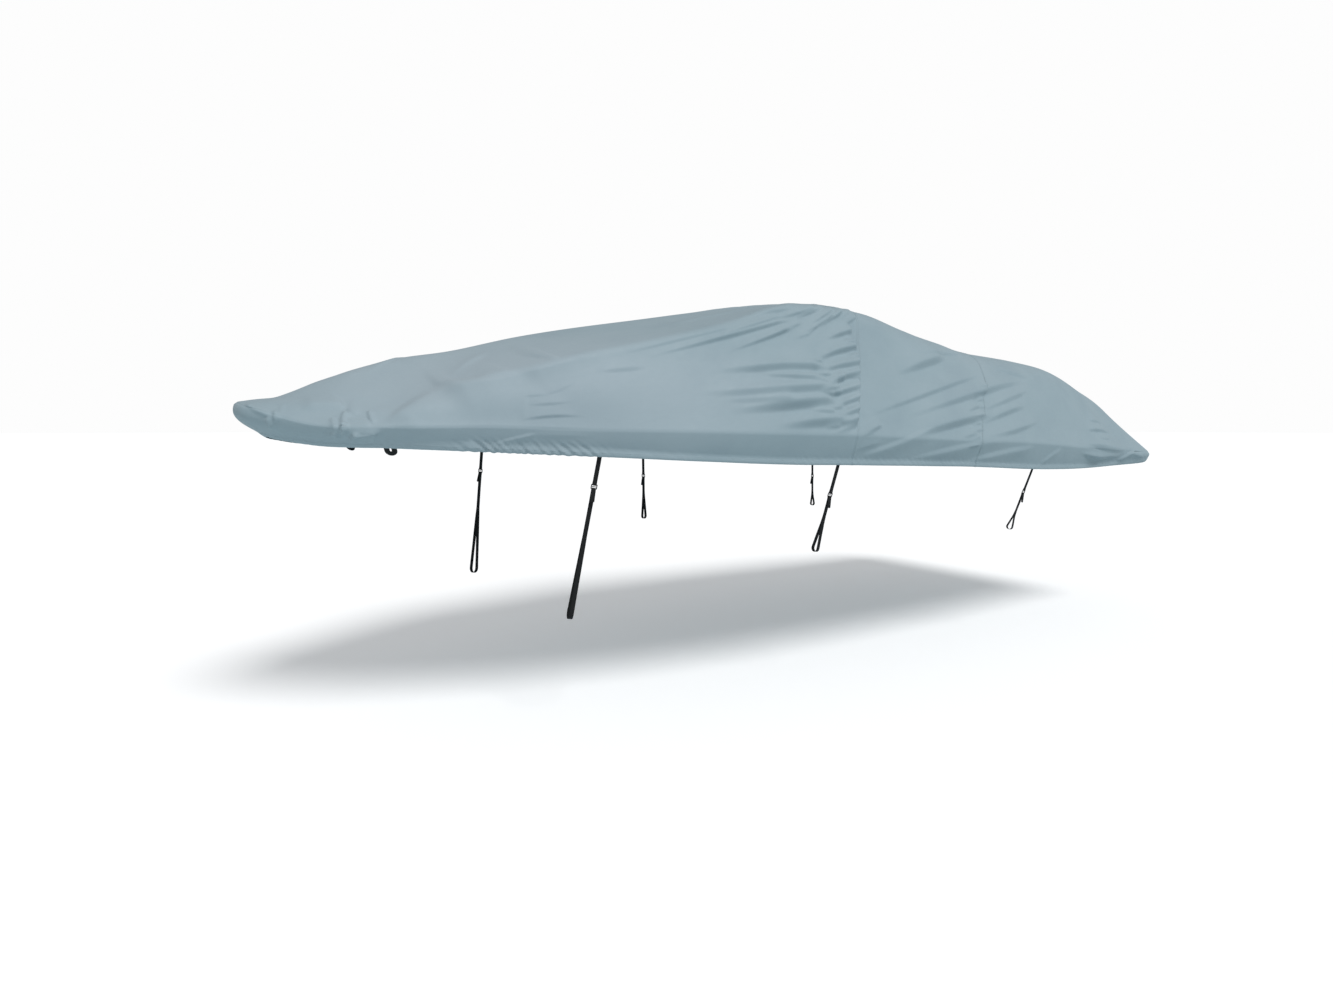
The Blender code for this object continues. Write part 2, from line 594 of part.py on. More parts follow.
def main():
    for item in list(bpy.data.objects):
        bpy.data.objects.remove(item)
    for slot in COLOURS:
        make_material(slot)
    half_gap = 0.5 * SEAM_GAP
    make_panel("front_panel", 0.0, FRONT_SEAM - half_gap)
    make_panel("middle_panel", FRONT_SEAM + half_gap, AFT_SEAM - half_gap)
    make_panel("aft_panel", AFT_SEAM + half_gap, TRANSOM)
    for side in (-1, 1):
        make_bow_loop(side)
        for row in STRAPS:
            make_strap(row, side)


main()
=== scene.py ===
import math

import bmesh
import bpy
import numpy as np
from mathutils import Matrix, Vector


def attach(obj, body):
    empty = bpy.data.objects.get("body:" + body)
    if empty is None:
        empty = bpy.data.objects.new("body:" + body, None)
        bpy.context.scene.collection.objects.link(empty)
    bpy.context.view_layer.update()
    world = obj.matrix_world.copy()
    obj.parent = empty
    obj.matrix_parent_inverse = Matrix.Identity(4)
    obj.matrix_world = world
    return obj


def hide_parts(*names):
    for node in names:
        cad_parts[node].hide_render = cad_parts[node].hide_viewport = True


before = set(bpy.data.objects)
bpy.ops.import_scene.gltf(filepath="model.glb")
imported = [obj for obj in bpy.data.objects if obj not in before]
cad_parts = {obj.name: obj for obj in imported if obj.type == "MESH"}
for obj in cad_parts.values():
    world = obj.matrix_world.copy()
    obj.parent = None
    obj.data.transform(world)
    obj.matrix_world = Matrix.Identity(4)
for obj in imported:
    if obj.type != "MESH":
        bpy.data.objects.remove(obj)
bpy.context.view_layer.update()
scene = bpy.context.scene
print("frame loaded:", len(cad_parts), "nodes")


# ---- small helpers
def hexColour(text):
    values = [int(text[k:k + 2], 16) / 255 for k in (1, 3, 5)]
    return [v / 12.92 if v <= 0.04045 else ((v + 0.055) / 1.055) ** 2.4 for v in values] + [1.0]


def metres(*rows):  # from rows of millimetres
    return [tuple(value / 1000 for value in row) for row in rows]


def addNode(tree, kind, inputs=None, links=None, **settings):  # one node, its sockets and its links
    node = tree.nodes.new(kind)
    for name, value in settings.items():
        setattr(node, name, value)
    for name, value in (inputs or {}).items():
        node.inputs[name].default_value = value
    for name, source in (links or {}).items():
        tree.links.new(source, node.inputs[name])
    return node


def newObject(name, mesh):
    piece = bpy.data.objects.new(name, mesh)
    scene.collection.objects.link(piece)
    return piece


def newPiece(name, bm, sharpAngle):  # shaded smooth but for the edges past the angle
    mesh = bpy.data.meshes.new(name)
    bm.to_mesh(mesh)
    bm.free()
    mesh.shade_smooth()
    mesh.set_sharp_from_angle(angle=math.radians(sharpAngle))
    return newObject(name, mesh)


def finishPiece(piece, material, nodes=()):  # every piece rides on the one body
    piece.data.materials.clear()
    piece.data.materials.append(material)
    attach(piece, "root")
    if nodes:
        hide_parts(*nodes)
    return piece


# ---- the cover's own shape, from the bow tip, the centreline and the ground: the frame's ribs, shifted by
# up to a few centimetres at the bow and round the stern
cover = {
    "cloth": 0.0025, "gunwaleRound": 0.014, "ridgeRound": 0.14,
    "roundLimit": 0.45,      # a soft corner takes no more than this share of a run
    "shoulderRound": (0.035, 0.20), "softFrom": 3.2, "softTo": 4.4,  # crisp forward, soft aft
    "flatCorner": (7.2, 0.5, 1.7),        # the cloth runs straight down to the stern corner
    "endBelly": 0.36, "endRound": 0.007,
    "baggy": (0.75, 6.70, 7.40),          # bags round the stem and the stern corner
    "sideBelly": 0.018, "skirtBelly": 0.08, "frontSeamRib": 9, "aftSeamRib": 11,
    "lap": 0.012,            # the middle panel runs this far under its neighbours
    "lapDrop": 0.0030,
    "seamLift": 0.0016,      # the felled seam stands this proud
    "seamHalf": 0.011,       # half its width
    "seamEdge": 0.004, "seamDip": 0.8, "seamGroove": 0.0022,
    "nearAlong": 0.01, "nearAcross": 0.004,   # steps over which a slope is taken
}
ribNames = ("gunwaleAft", "gunwaleOut", "gunwaleUp", "hemTuck", "hemUp",
        "shoulderAft", "shoulderOut", "shoulderUp", "ridgeAft", "ridgeUp")
ribRows = metres(
    (0, 0, 1770, 158, 1590, 190, 0, 1796, 360, 1866),
    (22, 140, 1750, 138, 1590, 230, 90, 1796, 410, 1897),
    (136, 280, 1708, 116, 1569, 320, 180, 1800, 480, 1936),
    (300, 420, 1655, 100, 1545, 460, 280, 1812, 580, 1983),
    (600, 620, 1641, 80, 1536, 700, 490, 1770, 800, 2057),
    (1100, 840, 1641, 70, 1517, 1080, 740, 1890, 1140, 2112),
    (1550, 980, 1625, 65, 1492, 1480, 890, 2005, 1580, 2222),
    (2200, 1130, 1613, 60, 1451, 2250, 900, 2180, 2360, 2372),
    (2800, 1210, 1600, 60, 1420, 3000, 900, 2375, 3240, 2520),
    (3290, 1250, 1590, 60, 1405, 3630, 900, 2405, 4050, 2625),
    (3900, 1280, 1565, 60, 1385, 4300, 900, 2277, 4720, 2535),
    (4500, 1280, 1543, 60, 1363, 4980, 900, 2178, 5300, 2405),
    (5200, 1270, 1520, 60, 1325, 5550, 900, 2160, 5720, 2330),
    (5900, 1250, 1475, 60, 1308, 6050, 900, 2112, 6000, 2280),
    (6580, 1230, 1432, 55, 1322, 6420, 900, 1985, 6180, 2230),
    (7020, 1220, 1418, 42, 1342, 6600, 870, 1912, 6280, 2195),
    (7180, 1120, 1412, 44, 1352, 6690, 760, 1905, 6370, 2155),
    (7210, 830, 1404, 42, 1346, 6730, 540, 1945, 6430, 2125),
    (7220, 420, 1396, 40, 1338, 6750, 260, 2000, 6470, 2100),
    (7220, 0, 1398, 40, 1331, 6750, 0, 2020, 6490, 2090),
)
ribs = {name: np.array([row[k] for row in ribRows]) for k, name in enumerate(ribNames)}
alongRibs = np.concatenate(([0.0], np.cumsum(np.hypot(np.diff(ribs["gunwaleAft"]),
        np.diff(ribs["gunwaleOut"])))))
frontSeam = alongRibs[cover["frontSeamRib"]]
aftSeam = alongRibs[cover["aftSeamRib"]]
transom = alongRibs[-1]


def smoothCurve(values, mirror):  # runs on past the stem and the transom onto the other side
    knots = np.concatenate((-alongRibs[:0:-1], alongRibs, 2 * transom - alongRibs[-2::-1]))
    data = np.concatenate((mirror * values[:0:-1], values, mirror * values[-2::-1]))
    slope = np.gradient(data, knots)

    def at(along):
        i = np.clip(np.searchsorted(knots, along, side="right") - 1, 0, len(knots) - 2)
        gap = knots[i + 1] - knots[i]
        t = (along - knots[i]) / gap
        return ((2 * t**3 - 3 * t**2 + 1) * data[i] + (t**3 - 2 * t**2 + t) * gap * slope[i]
                + (3 * t**2 - 2 * t**3) * data[i + 1] + (t**3 - t**2) * gap * slope[i + 1])
    return at


curves = {name: smoothCurve(ribs[name], -1 if name.endswith("Out") else 1) for name in ribNames}


def ribPoint(name, along):
    return np.stack([curves[name + "Aft"](along), -curves[name + "Out"](along),
            curves[name + "Up"](along)], axis=-1)


def softStep(t):
    t = np.clip(t, 0.0, 1.0)
    return t * t * (3 - 2 * t)


def unit(vectors):
    return vectors / np.maximum(np.linalg.norm(vectors, axis=-1, keepdims=True), 1e-9)


def outward(along):  # level, square to the gunwale of the port side
    near = cover["nearAlong"]
    run = ribPoint("gunwale", along + near) - ribPoint("gunwale", along - near)
    return unit(np.stack([run[..., 1], -run[..., 0], np.zeros(len(run))], axis=-1))


def ribPoints(along):
    gunwale = ribPoint("gunwale", along)
    shoulder = ribPoint("shoulder", along)
    ridge = np.stack([curves["ridgeAft"](along), np.zeros(len(along)), curves["ridgeUp"](along)],
            axis=-1)
    hem = gunwale - outward(along) * curves["hemTuck"](along)[:, None]
    hem[:, 2] = curves["hemUp"](along)
    return hem, gunwale, shoulder, ridge


def rounded(points, rounds, level):  # chain of straight runs whose inner corners are soft
    index = np.arange(len(level))
    run = np.minimum(level.astype(int), len(points) - 2)
    stack = np.stack(points)
    spans = [np.maximum(np.linalg.norm(points[k + 1] - points[k], axis=1), 1e-9)
            for k in range(len(points) - 1)]
    share = (level - run)[:, None]
    result = stack[run, index] * (1 - share) + stack[run + 1, index] * share
    for corner in range(1, len(points) - 1):
        low = np.minimum(rounds[corner] / spans[corner - 1], cover["roundLimit"])
        high = np.minimum(rounds[corner] / spans[corner], cover["roundLimit"])
        near = (level > corner - low) & (level < corner + high)
        before = points[corner] + (points[corner - 1] - points[corner]) * low[:, None]
        after = points[corner] + (points[corner + 1] - points[corner]) * high[:, None]
        t = np.where(level < corner, 0.5 * (level - corner + low) / low,
                0.5 + 0.5 * (level - corner) / high)[:, None]
        bend = (1 - t)**2 * before + 2 * t * (1 - t) * points[corner] + t**2 * after
        result[near] = bend[near]
    return result


def basePoint(along, across):  # across runs from -3, the port hem, over the ridge to +3
    hem, gunwale, shoulder, ridge = ribPoints(along)
    level = 3.0 - np.abs(across)
    crisp, soft = cover["shoulderRound"]
    softened = softStep((along - cover["softFrom"]) / (cover["softTo"] - cover["softFrom"]))
    bend = crisp + (soft - crisp) * softened
    first, second, last = cover["baggy"]
    baggy = 1 - softStep(along / first) + softStep((along - second) / (last - second))
    edge = cover["gunwaleRound"] + cover["endRound"] * baggy
    point = rounded((hem, gunwale, shoulder, ridge, shoulder * np.array([1.0, -1.0, 1.0])),
            (0.0, edge, bend, cover["ridgeRound"]), level)
    out = outward(along)
    belly = cover["skirtBelly"] + cover["endBelly"] * baggy
    skirtSwell = belly * curves["hemTuck"](along) * np.sin(np.pi * np.clip(level, 0, 1))
    rise = shoulder - gunwale
    square = out - rise * ((out * rise).sum(1) / np.maximum((rise * rise).sum(1), 1e-9))[:, None]
    corner, half, lost = cover["flatCorner"]
    kept = 1 - lost * np.exp(-((along - corner) / half)**2)
    sideSwell = cover["sideBelly"] * kept * np.sin(np.pi * np.clip(level - 1, 0, 1))**2
    point = point + out * skirtSwell[:, None] + square * sideSwell[:, None]
    point[:, 1] *= np.where(across <= 0, 1.0, -1.0)
    return point


def facing(along, across):  # outward direction of the smooth cover
    near, beside = cover["nearAlong"], cover["nearAcross"]
    run = basePoint(along + near, across) - basePoint(along - near, across)
    rise = basePoint(along, across + beside) - basePoint(along, across - beside)
    return unit(np.cross(run, rise))


peak = basePoint(np.array([frontSeam]), np.array([0.0]))[0]
origin = np.array([peak[0], 0.0, peak[2] - cover["cloth"]])  # underside of the top at its peak

# ---- creases, in millimetres, each from its start to its end with the bow of the line between them
creaseForm = {
    "slope": 1.45,        # all heights are multiplied by this
    "reach": 2.4, "skirtReach": 0.9,    # the upper flank runs this many widths, the lower flank one
    "knee": (0.98, 0.07),               # where the skirt's reach gives way to the side's, and over how much
    "narrow": 0.60,       # width left where a crease dies out
    "ridgeFree": 0.25,    # none within this level of the ridge
    "endFree": 0.05,      # nor this near to the stem
    "farShift": 0.11, "farShiftWave": 1.7, "farDrop": 0.016, "farDropWave": 7.0, "farShare": 0.85,
    "faceUp": (0.6, 0.25), "faceAft": (0.35, 0.3), "faceSide": (-0.75, 0.3),
}
creaseKinds = {  # reach in widths, shares of the length that fade in and out, widening
    "side": (None, (0.32, 0.52), 1.25), "fan": (2.0, (0.14, 0.60), 1.0), "band": (1.0, (0.20, 0.62), 1.25),
    "ridge": (1.7, (0.25, 0.35), 1.0), "deck": (1.6, (0.32, 0.52), 1.0), "wrinkle": (1.1, (0.20, 0.35), 1.0),
    "tuck": (1.4, (0.32, 0.52), 1.0), "pucker": (1.2, (0.10, 0.55), 1.25), "top": (1.8, (0.32, 0.52), 1.0),
}
gather = {"past": 0.006, "pastFade": 0.030, "along": (-0.34, 0.26), "up": (1.60, 0.06), "high": 2.42,
        "highFade": 0.25, "sunk": 0.013}  # the cloth lies this much lower between the gathers
slack = {"height": 0.0022, "seed": 5, "waves": 9, "lengths": (0.22, 0.9), "turn": 0.9}
# seen from the side: start aft, start up, end aft, end up, bow, width of the dark flank, height
sideCreases = metres(
    (1930, 1966, 1610, 1930, -4, 22, 6),
    (4900, 2189, 4060, 2135, 3, 26, 11),    # abaft the gathered seam
    (4540, 2148, 3790, 1984, 1, 44, 27),
    (4870, 2023, 3340, 1688, 8, 28, 15),
    (5450, 2003, 3720, 1688, 6, 40, 26),
    (5410, 1926, 4570, 1738, -8, 30, 17),
    (5270, 1800, 4520, 1644, 4, 32, 19),
    (4780, 1722, 3660, 1556, 6, 42, 30),
    (5380, 1686, 4280, 1527, -24, 30, 17),
    (4630, 1786, 4400, 1728, -1, 22, 11),
    (4490, 1586, 4280, 1562, -1, 22, 10),
    (3540, 1650, 3330, 1574, 3, 24, 14),
    (3520, 1540, 3260, 1480, 0, 26, 3.5),
    (5540, 2034, 4980, 2112, -18, 34, 10),
    (6040, 1610, 6520, 1582, 3, 24, 15),   # stern corner
    (6180, 1534, 6420, 1524, 0, 20, 7),
    (6140, 1690, 6440, 1662, 1, 22, 9),
    (5930, 1508, 6780, 1450, -34, 32, 16.5),
    (5940, 1400, 6580, 1386, -9, 34, 12),
    (6480, 1352, 6740, 1436, 9, -22, 9),
    (6600, 1400, 6900, 1350, 16, 26, 7.5),
    (5860, 1424, 6340, 1372, -6, 22, 9),
    (1250, 1590, 1620, 1584, -1, 22, 2),  # forward skirt
    (1220, 1672, 1560, 1691, 13, 17, 5.8),   # over a fitting on the side deck
    (1260, 1752, 1500, 1772, -4, 16, 3.6),
    (1240, 1794, 1380, 1802, 2, 14, 2.6),
    (1340, 1806, 1520, 1895, -18, 14, 2.2),
    (1262, 1850, 1254, 1640, 0, 13, 2.4),
    (1536, 1890, 1522, 1670, 0, 13, 2.4),
    (880, 1857, 1010, 1866, -6, 18, 9),
    (1240, 1922, 1050, 1880, -1, 18, 7),
    (1460, 1994, 1340, 2030, -3, 22, 10),
    (465, 1730, 525, 1697, -11, 14, 5),
    (970, 1560, 1050, 1522, -2, 14, 7),
)
# fan of fine folds that runs forward from the peak: the same columns
fanCreases = metres(
    (3020, 2306, 1900, 2010, -4, 24, 14.5),
    (2950, 2322, 2400, 2160, -4, 19, 8.1),
    (3000, 2248, 2460, 2070, -4, 20, 13.9),
    (3180, 2404, 2560, 2262, 7, 20, 10.5),
    (3260, 2400, 2860, 2294, -2, 19, 10.5),
    (3370, 2418, 3010, 2302, 4, 19, 11),
    (3440, 2416, 3120, 2264, 2, 19, 11.4),
    (3520, 2404, 3360, 2326, 3, 18, 9.7),
    (3400, 2378, 3030, 2210, -14, 19, 9.7),
    (3620, 2372, 3440, 2290, 2, 18, 8.1),
    (3100, 2292, 2740, 2150, 4, 17, 5.7),
    (2600, 2232, 1700, 2008, 4, 21, 5.7),
    (3390, 2448, 2920, 2324, 7, 14, 6),
    (3100, 2391, 2690, 2285, 4, 15, 6.5),
    (3700, 2440, 3420, 2334, 10, 15, 8.5),
    (3500, 2402, 3210, 2258, 3, 14, 8.5),
    (3220, 2279, 3050, 2176, 1, 12, 5),
    (3120, 2224, 2980, 2181, -4, 12, 4.5),
)
# upright wrinkles over the bow cleat and the stem: the same columns
bowWrinkles = metres(
    (462, 1726, 430, 1612, 12, -20, 11),
    (408, 1694, 430, 1584, -10, -13, 8.5),
    (496, 1628, 466, 1574, 3, -17, 11),
    (392, 1624, 436, 1588, 0, -16, 8),
    (558, 1724, 562, 1648, -5, 12, 9),
    (600, 1624, 436, 1627, 0, -34, 13),
    (452, 1656, 450, 1592, -2, 20, 7),
    (490, 1610, 560, 1610, -1, -11, 5),
    (560, 1668, 452, 1674, 8, -22, 6),
    (156, 1726, 156, 1655, -6, 11, 8),
    (136, 1700, 164, 1622, -8, -15, 9),
    (480, 1738, 260, 1724, 1, 40, 11),
    (214, 1762, 186, 1694, 4, 10, 3),
    (30, 1754, 150, 1684, -9, 18, 7),
)
seamTucks = {"ups": (1.915, 1.872, 1.828, 1.768, 1.706, 1.655, 1.604, 1.556, 1.508), "aft": 4.47,
        "from": 1.584, "rake": 0.82, "half": 0.085, "uneven": 0.3, "beat": 2.3, "lean": 0.14,
        "width": 0.020, "height": 0.006}
# pushed up from below by the bow cleat: aft, up, long, tall, lift
cleats = ((0.486, 1.630, 0.066, 0.022, 0.0100), (0.444, 1.624, 0.020, 0.024, 0.0060))
# soft bands that run forward from the second line before the gathered seam
bands = metres(
    (3200, 1998, 2300, 1950, 8, 42, 29),
    (3100, 1924, 2600, 1952, -10, 30, 21),
    (3240, 1876, 2200, 1824, -8, 46, 31),
    (2860, 1800, 2340, 1786, -4, 34, 13),
    (3220, 1786, 2360, 1716, 6, 52, 34),
    (3150, 1722, 2920, 1736, -5, 24, 14),
    (3260, 1668, 2660, 1632, 3, 46, 28),
    (3210, 1956, 3020, 1950, 3, 20, 11),  # short forks between the bands
    (3140, 1910, 3000, 1914, -2, 20, 10),
    (3170, 2046, 3000, 2034, -3, 18, 8.5),
    (3250, 1842, 3040, 1828, 2, 20, 11),
    (3180, 1822, 3030, 1836, 3, 18, 8),
    (3240, 1752, 3060, 1738, 2, 20, 10),
    (3170, 1636, 3020, 1626, 1, 18, 9),
)
# ridges that cross the skirt, whose upper flank is the steep one: hence the minus
skirtRidges = metres(
    (4020, 1636, 3320, 1448, 10, -30, 8.5),
    (4960, 1588, 3740, 1424, 14, -34, 9.5),
    (5200, 1500, 4360, 1398, 14, -34, 9),
    (5560, 1484, 5280, 1348, 6, -22, 6.5),
    (1310, 1612, 1080, 1550, 3, -14, 4),
)
# edge of the foredeck, likewise
deckEdges = metres(
    (600, 1660, 930, 1868, 0, -44, 17),
    (860, 1846, 1290, 1934, -4, -52, 20),
    (1230, 1925, 1560, 2020, 0, -44, 10),
)
# puckers gathered into the front seam: as above, and nothing of them passes the seam
puckers = metres(
    (3530, 2268, 3240, 2190, 2, 25, 18.2),
    (3530, 2156, 3100, 2046, 10, 30, 26.1),
    (3530, 2052, 3100, 1984, -1, 32, 26.8),
    (3520, 1994, 3100, 1914, -8, 34, 29),
    (3300, 1932, 3100, 1882, 1, 23, 15.1),
    (3510, 1908, 3100, 1826, -6, 34, 29),
    (3240, 1880, 3020, 1830, 2, 22, 13.8),
    (3500, 1836, 3140, 1752, 2, 34, 29.7),
    (3490, 1776, 3130, 1690, -6, 34, 29.7),
    (3480, 1712, 3100, 1628, -3, 37, 31.2),
    (3340, 1650, 3100, 1596, 1, 23, 13.8),
    (3520, 2184, 3380, 2180, 0, 19, 11),
    (3520, 2088, 3380, 2084, 0, 18, 11),
    (3510, 1950, 3340, 1934, 0, 18, 11),
    (3500, 1868, 3340, 1846, 0, 18, 11),
)
# seen from above: start aft, start out, end aft, end out, bow, width, height; port is negative
topCreases = metres(
    (3950, -50, 3050, -520, 30, 30, 7), (3900, -20, 2600, -200, 20, 32, 7),
    (3960, 40, 2950, 400, 20, 30, 7), (4000, 60, 3300, 660, 30, 28, 8),
    (4080, -50, 4750, -480, 20, 28, 7), (4100, 0, 5200, 80, 30, 32, 6),
    (4060, 50, 4800, 520, 20, 28, 7), (3200, -660, 2200, -520, 30, 40, 7),
    (3100, 680, 2100, 600, 20, 40, 8), (5600, -400, 6200, -620, 0, 30, 6),
    (5500, 300, 6150, 560, 20, 30, 6), (1300, -300, 950, -550, 0, 30, 6),
    (1600, 200, 1100, 500, 10, 30, 6), (900, 20, 620, -160, 0, 24, 5),
)
# seen from behind: start out, start up, end out, end up, bow, width, height
sternCreases = metres(
    (-800, 1920, -1080, 1460, 30, 30, 11), (780, 1930, 1060, 1480, 30, 30, 11),
    (-550, 1900, -720, 1420, 20, 30, 8), (480, 1920, 700, 1440, 10, 30, 8),
    (-180, 1940, -260, 1450, 0, 34, 7), (200, 1950, 220, 1460, 20, 34, 7),
    (-1020, 1440, -620, 1500, 20, 24, 9), (1000, 1450, 560, 1520, 20, 24, 9),
)


def fadeIn(value, band):
    return softStep((value - band[0]) / band[1])


def creaseLift(first, second, row, reach, ends):
    startA, startB, endA, endB, bow, width, height = row
    runA, runB = endA - startA, endB - startB
    span = math.hypot(runA, runB)
    t = ((first - startA) * runA + (second - startB) * runB) / span**2
    side = 1.0 if runA >= 0 else -1.0
    away = side * ((second - startB) * runA - (first - startA) * runB) / span
    away = math.copysign(1.0, width) * (away - bow * 4 * t * (1 - t))
    fade = softStep(t / ends[0]) * softStep((1 - t) / ends[1])
    flank = abs(width) * (creaseForm["narrow"] + (1 - creaseForm["narrow"]) * fade)
    rise = softStep(0.5 + away / flank)
    fall = np.exp(-(np.maximum(away - 0.5 * flank, 0.0) / (reach * flank))**1.5)
    return np.where((t > 0) & (t < 1), creaseForm["slope"] * height * fade * rise * fall, 0.0)


def lifts(rows, first, second, kind, sideReach=None):  # one set of creases together
    kindReach, ends, broad = creaseKinds[kind]
    reach = kindReach if sideReach is None else sideReach
    return sum(creaseLift(first, second, row[:5] + (broad * row[5], row[6]), reach, ends) for row in rows)


def tuckRows():  # small tucks that cross the aft seam
    rows = []
    for k, height in enumerate(seamTucks["ups"]):
        middle = seamTucks["aft"] + seamTucks["rake"] * (height - seamTucks["from"])
        half = seamTucks["half"] * (1 + seamTucks["uneven"] * math.sin(seamTucks["beat"] * k))
        drop = seamTucks["lean"] * half
        rows.append((middle + half, height + drop, middle - half, height - drop, 0.0,
                seamTucks["width"], seamTucks["height"]))
    return rows


def slackWaves(along, girth):  # long shallow waves, so no stretch is perfectly fair
    rng = np.random.default_rng(slack["seed"])
    total = np.zeros(len(along))
    for _ in range(slack["waves"]):
        waveLength = rng.uniform(*slack["lengths"])
        turn = rng.uniform(-slack["turn"], slack["turn"])
        phase = rng.uniform(0, 2 * math.pi)
        reach = along * math.sin(turn) + girth * math.cos(turn)
        total += np.sin(2 * math.pi * reach / waveLength + phase)
    return slack["height"] * (total / slack["waves"])


def foldLift(along, across, point, normal, girth):
    aft, out, up = point[:, 0], point[:, 1], point[:, 2]
    port = across <= 0
    shifted = np.where(port, aft, aft + creaseForm["farShift"] * np.sin(creaseForm["farShiftWave"] * aft))
    lowered = np.where(port, up, up + creaseForm["farDrop"] * (1 + np.sin(creaseForm["farDropWave"] * up)))
    onTop = fadeIn(3.0 - np.abs(across), creaseForm["knee"])
    reach = creaseForm["skirtReach"] + (creaseForm["reach"] - creaseForm["skirtReach"]) * onTop
    side = lifts(sideCreases, shifted, up, "side", reach)
    for rows, kind in ((fanCreases, "fan"), (bands, "band"), (skirtRidges, "ridge"), (tuckRows(), "tuck")):
        side = side + lifts(rows, shifted, up, kind)
    for rows, kind in ((deckEdges, "deck"), (bowWrinkles, "wrinkle")):
        side = side + lifts(rows, aft, up, kind)
    for atAft, atUp, long, tall, height in cleats:
        side = side + height * np.exp(-((aft - atAft) / long)**2 - ((up - atUp) / tall)**2)
    beforeSeam = softStep((frontSeam + gather["past"] - along) / gather["pastFade"])
    gathered = fadeIn(along - frontSeam, gather["along"]) * fadeIn(up, gather["up"])
    gathered = gathered * softStep((gather["high"] - up) / gather["highFade"])
    side = side + beforeSeam * (lifts(puckers, aft, lowered, "pucker") - gather["sunk"] * gathered)
    fromStem = softStep(along / creaseForm["endFree"])
    onSide = np.minimum(1.0, np.abs(across) / creaseForm["ridgeFree"])
    side = side * np.where(port, 1.0, creaseForm["farShare"]) * onSide * fromStem
    top = lifts(topCreases, aft, out, "top") * fadeIn(normal[:, 2], creaseForm["faceUp"])
    stern = lifts(sternCreases, out, up, "top") * fadeIn(normal[:, 0], creaseForm["faceAft"])
    waves = slackWaves(along, girth) * fromStem * softStep((transom - along) / creaseForm["endFree"])
    return side * fadeIn(-normal[:, 0], creaseForm["faceSide"]) + top + stern + waves


# ---- the rolled hem with its elastic: height above the edge and how far it stands out
hem = {
    "section": ((0.025, -0.0014), (0.015, 0.0010), (0.006, 0.0046), (0.0012, 0.0082), (0.0, 0.0110),
        (0.0022, 0.0134), (0.007, 0.0136), (0.013, 0.0120), (0.019, 0.0096), (0.0235, 0.0066),
        (0.0262, 0.0046), (0.032, 0.0022), (0.041, 0.0)),
    "outerFrom": 4,          # the rows before this one are the turned-up inside
    "stitchHeight": 0.0235, "flare": 1.12,
    "stretch": 0.4, "stretchFrom": 2.6, "stretchTo": 1.5,   # it flares higher up the skirt forward
    "bowShare": 0.4, "bowFrom": 0.6, "bowTo": 1.6,          # and least round the bow
    "calm": 0.0012, "forward": 0.0054,      # height of the ruffles along most of it and by the bow
    "forwardFrom": 1.22, "forwardTo": 2.12,
    "forwardFades": (0.12, 0.25), "stretchSwell": 1.2,
    "pitch": 0.050, "lean": 1.25, "reach": 0.026, "reachForward": 0.4, "crest": 0.026,
    "wander": ((0.028, 4.1, 0.0), (0.016, 11.3, 1.1)),      # size, rate and shift of each wave
    "waves": ((1.0, 1.0, 0.0), (0.5, 0.57, 0.7), (0.2, 1.27, 2.0)),
    "uneven": (0.35, 9.7, 23.0, 0.6), "share": 0.7, "endFade": 0.10,
}


def waveSum(waves, places):
    return sum(size * np.sin(rate * places + shift) for size, rate, shift in waves)


def hemRuffles(along, height):  # the elastic draws the cloth into leaning ruffles
    fadeFrom, fadeTo = hem["forwardFades"]
    near = softStep((along - hem["forwardFrom"]) / fadeFrom) * softStep((hem["forwardTo"] - along) / fadeTo)
    wandering = along + hem["lean"] * height + waveSum(hem["wander"], along)
    wave = waveSum(hem["waves"], 2 * math.pi * wandering / hem["pitch"])
    size, slow, quick, shift = hem["uneven"]
    beat = size * np.sin(slow * along) * np.sin(quick * along + shift)
    tall = (hem["calm"] + hem["forward"] * near) * (1 + beat)
    reach = hem["reach"] * (1 + hem["reachForward"] * near)
    rise = np.exp(-((height - hem["crest"]) / reach)**2)
    ends = softStep(along / hem["endFade"]) * softStep((transom - along) / hem["endFade"])
    return hem["share"] * tall * wave * rise * ends


def seamLift(along):  # felled seams stand proud of the cloth and dip at the join
    lift = np.zeros(len(along))
    for seam in (frontSeam, aftSeam):
        gap = np.abs(along - seam)
        lift += cover["seamLift"] * softStep((cover["seamHalf"] - gap) / cover["seamEdge"])
        lift -= cover["seamDip"] * cover["seamLift"] * np.exp(-(gap / cover["seamGroove"])**2)
    return lift


def skirtLength(along):
    hemEdge, gunwale = ribPoints(along)[:2]
    return np.linalg.norm(gunwale - hemEdge, axis=1)


def clothPoints(along, across, girth, inside=None):  # the cover's outer face
    base = basePoint(along, across)
    normal = facing(along, across)
    normal[(along < 1e-6) | (along > transom - 1e-6), 1] = 0.0
    normal = unit(normal)
    level = 3.0 - np.abs(across)
    height = np.where(level < 1, level * skirtLength(along), 1.0)
    outer = hem["section"][hem["outerFrom"]:]
    fullness = softStep((along - hem["bowFrom"]) / (hem["bowTo"] - hem["bowFrom"]))
    forward = softStep((hem["stretchFrom"] - along) / (hem["stretchFrom"] - hem["stretchTo"]))
    stretch = 1 + hem["stretch"] * forward * fullness
    share = hem["bowShare"] + (1 - hem["bowShare"]) * fullness
    swell = np.interp(height / stretch, [row[0] for row in outer], [row[1] for row in outer], right=0.0)
    if inside is not None:
        swell = np.where(np.isnan(inside), swell, inside)
    swell = hem["flare"] * swell * share * (1 + hem["stretchSwell"] * (stretch - 1))
    lift = foldLift(along, across, base, normal, girth) + seamLift(along)
    lift = lift + hemRuffles(along, height) + swell
    return base + normal * lift[:, None], normal


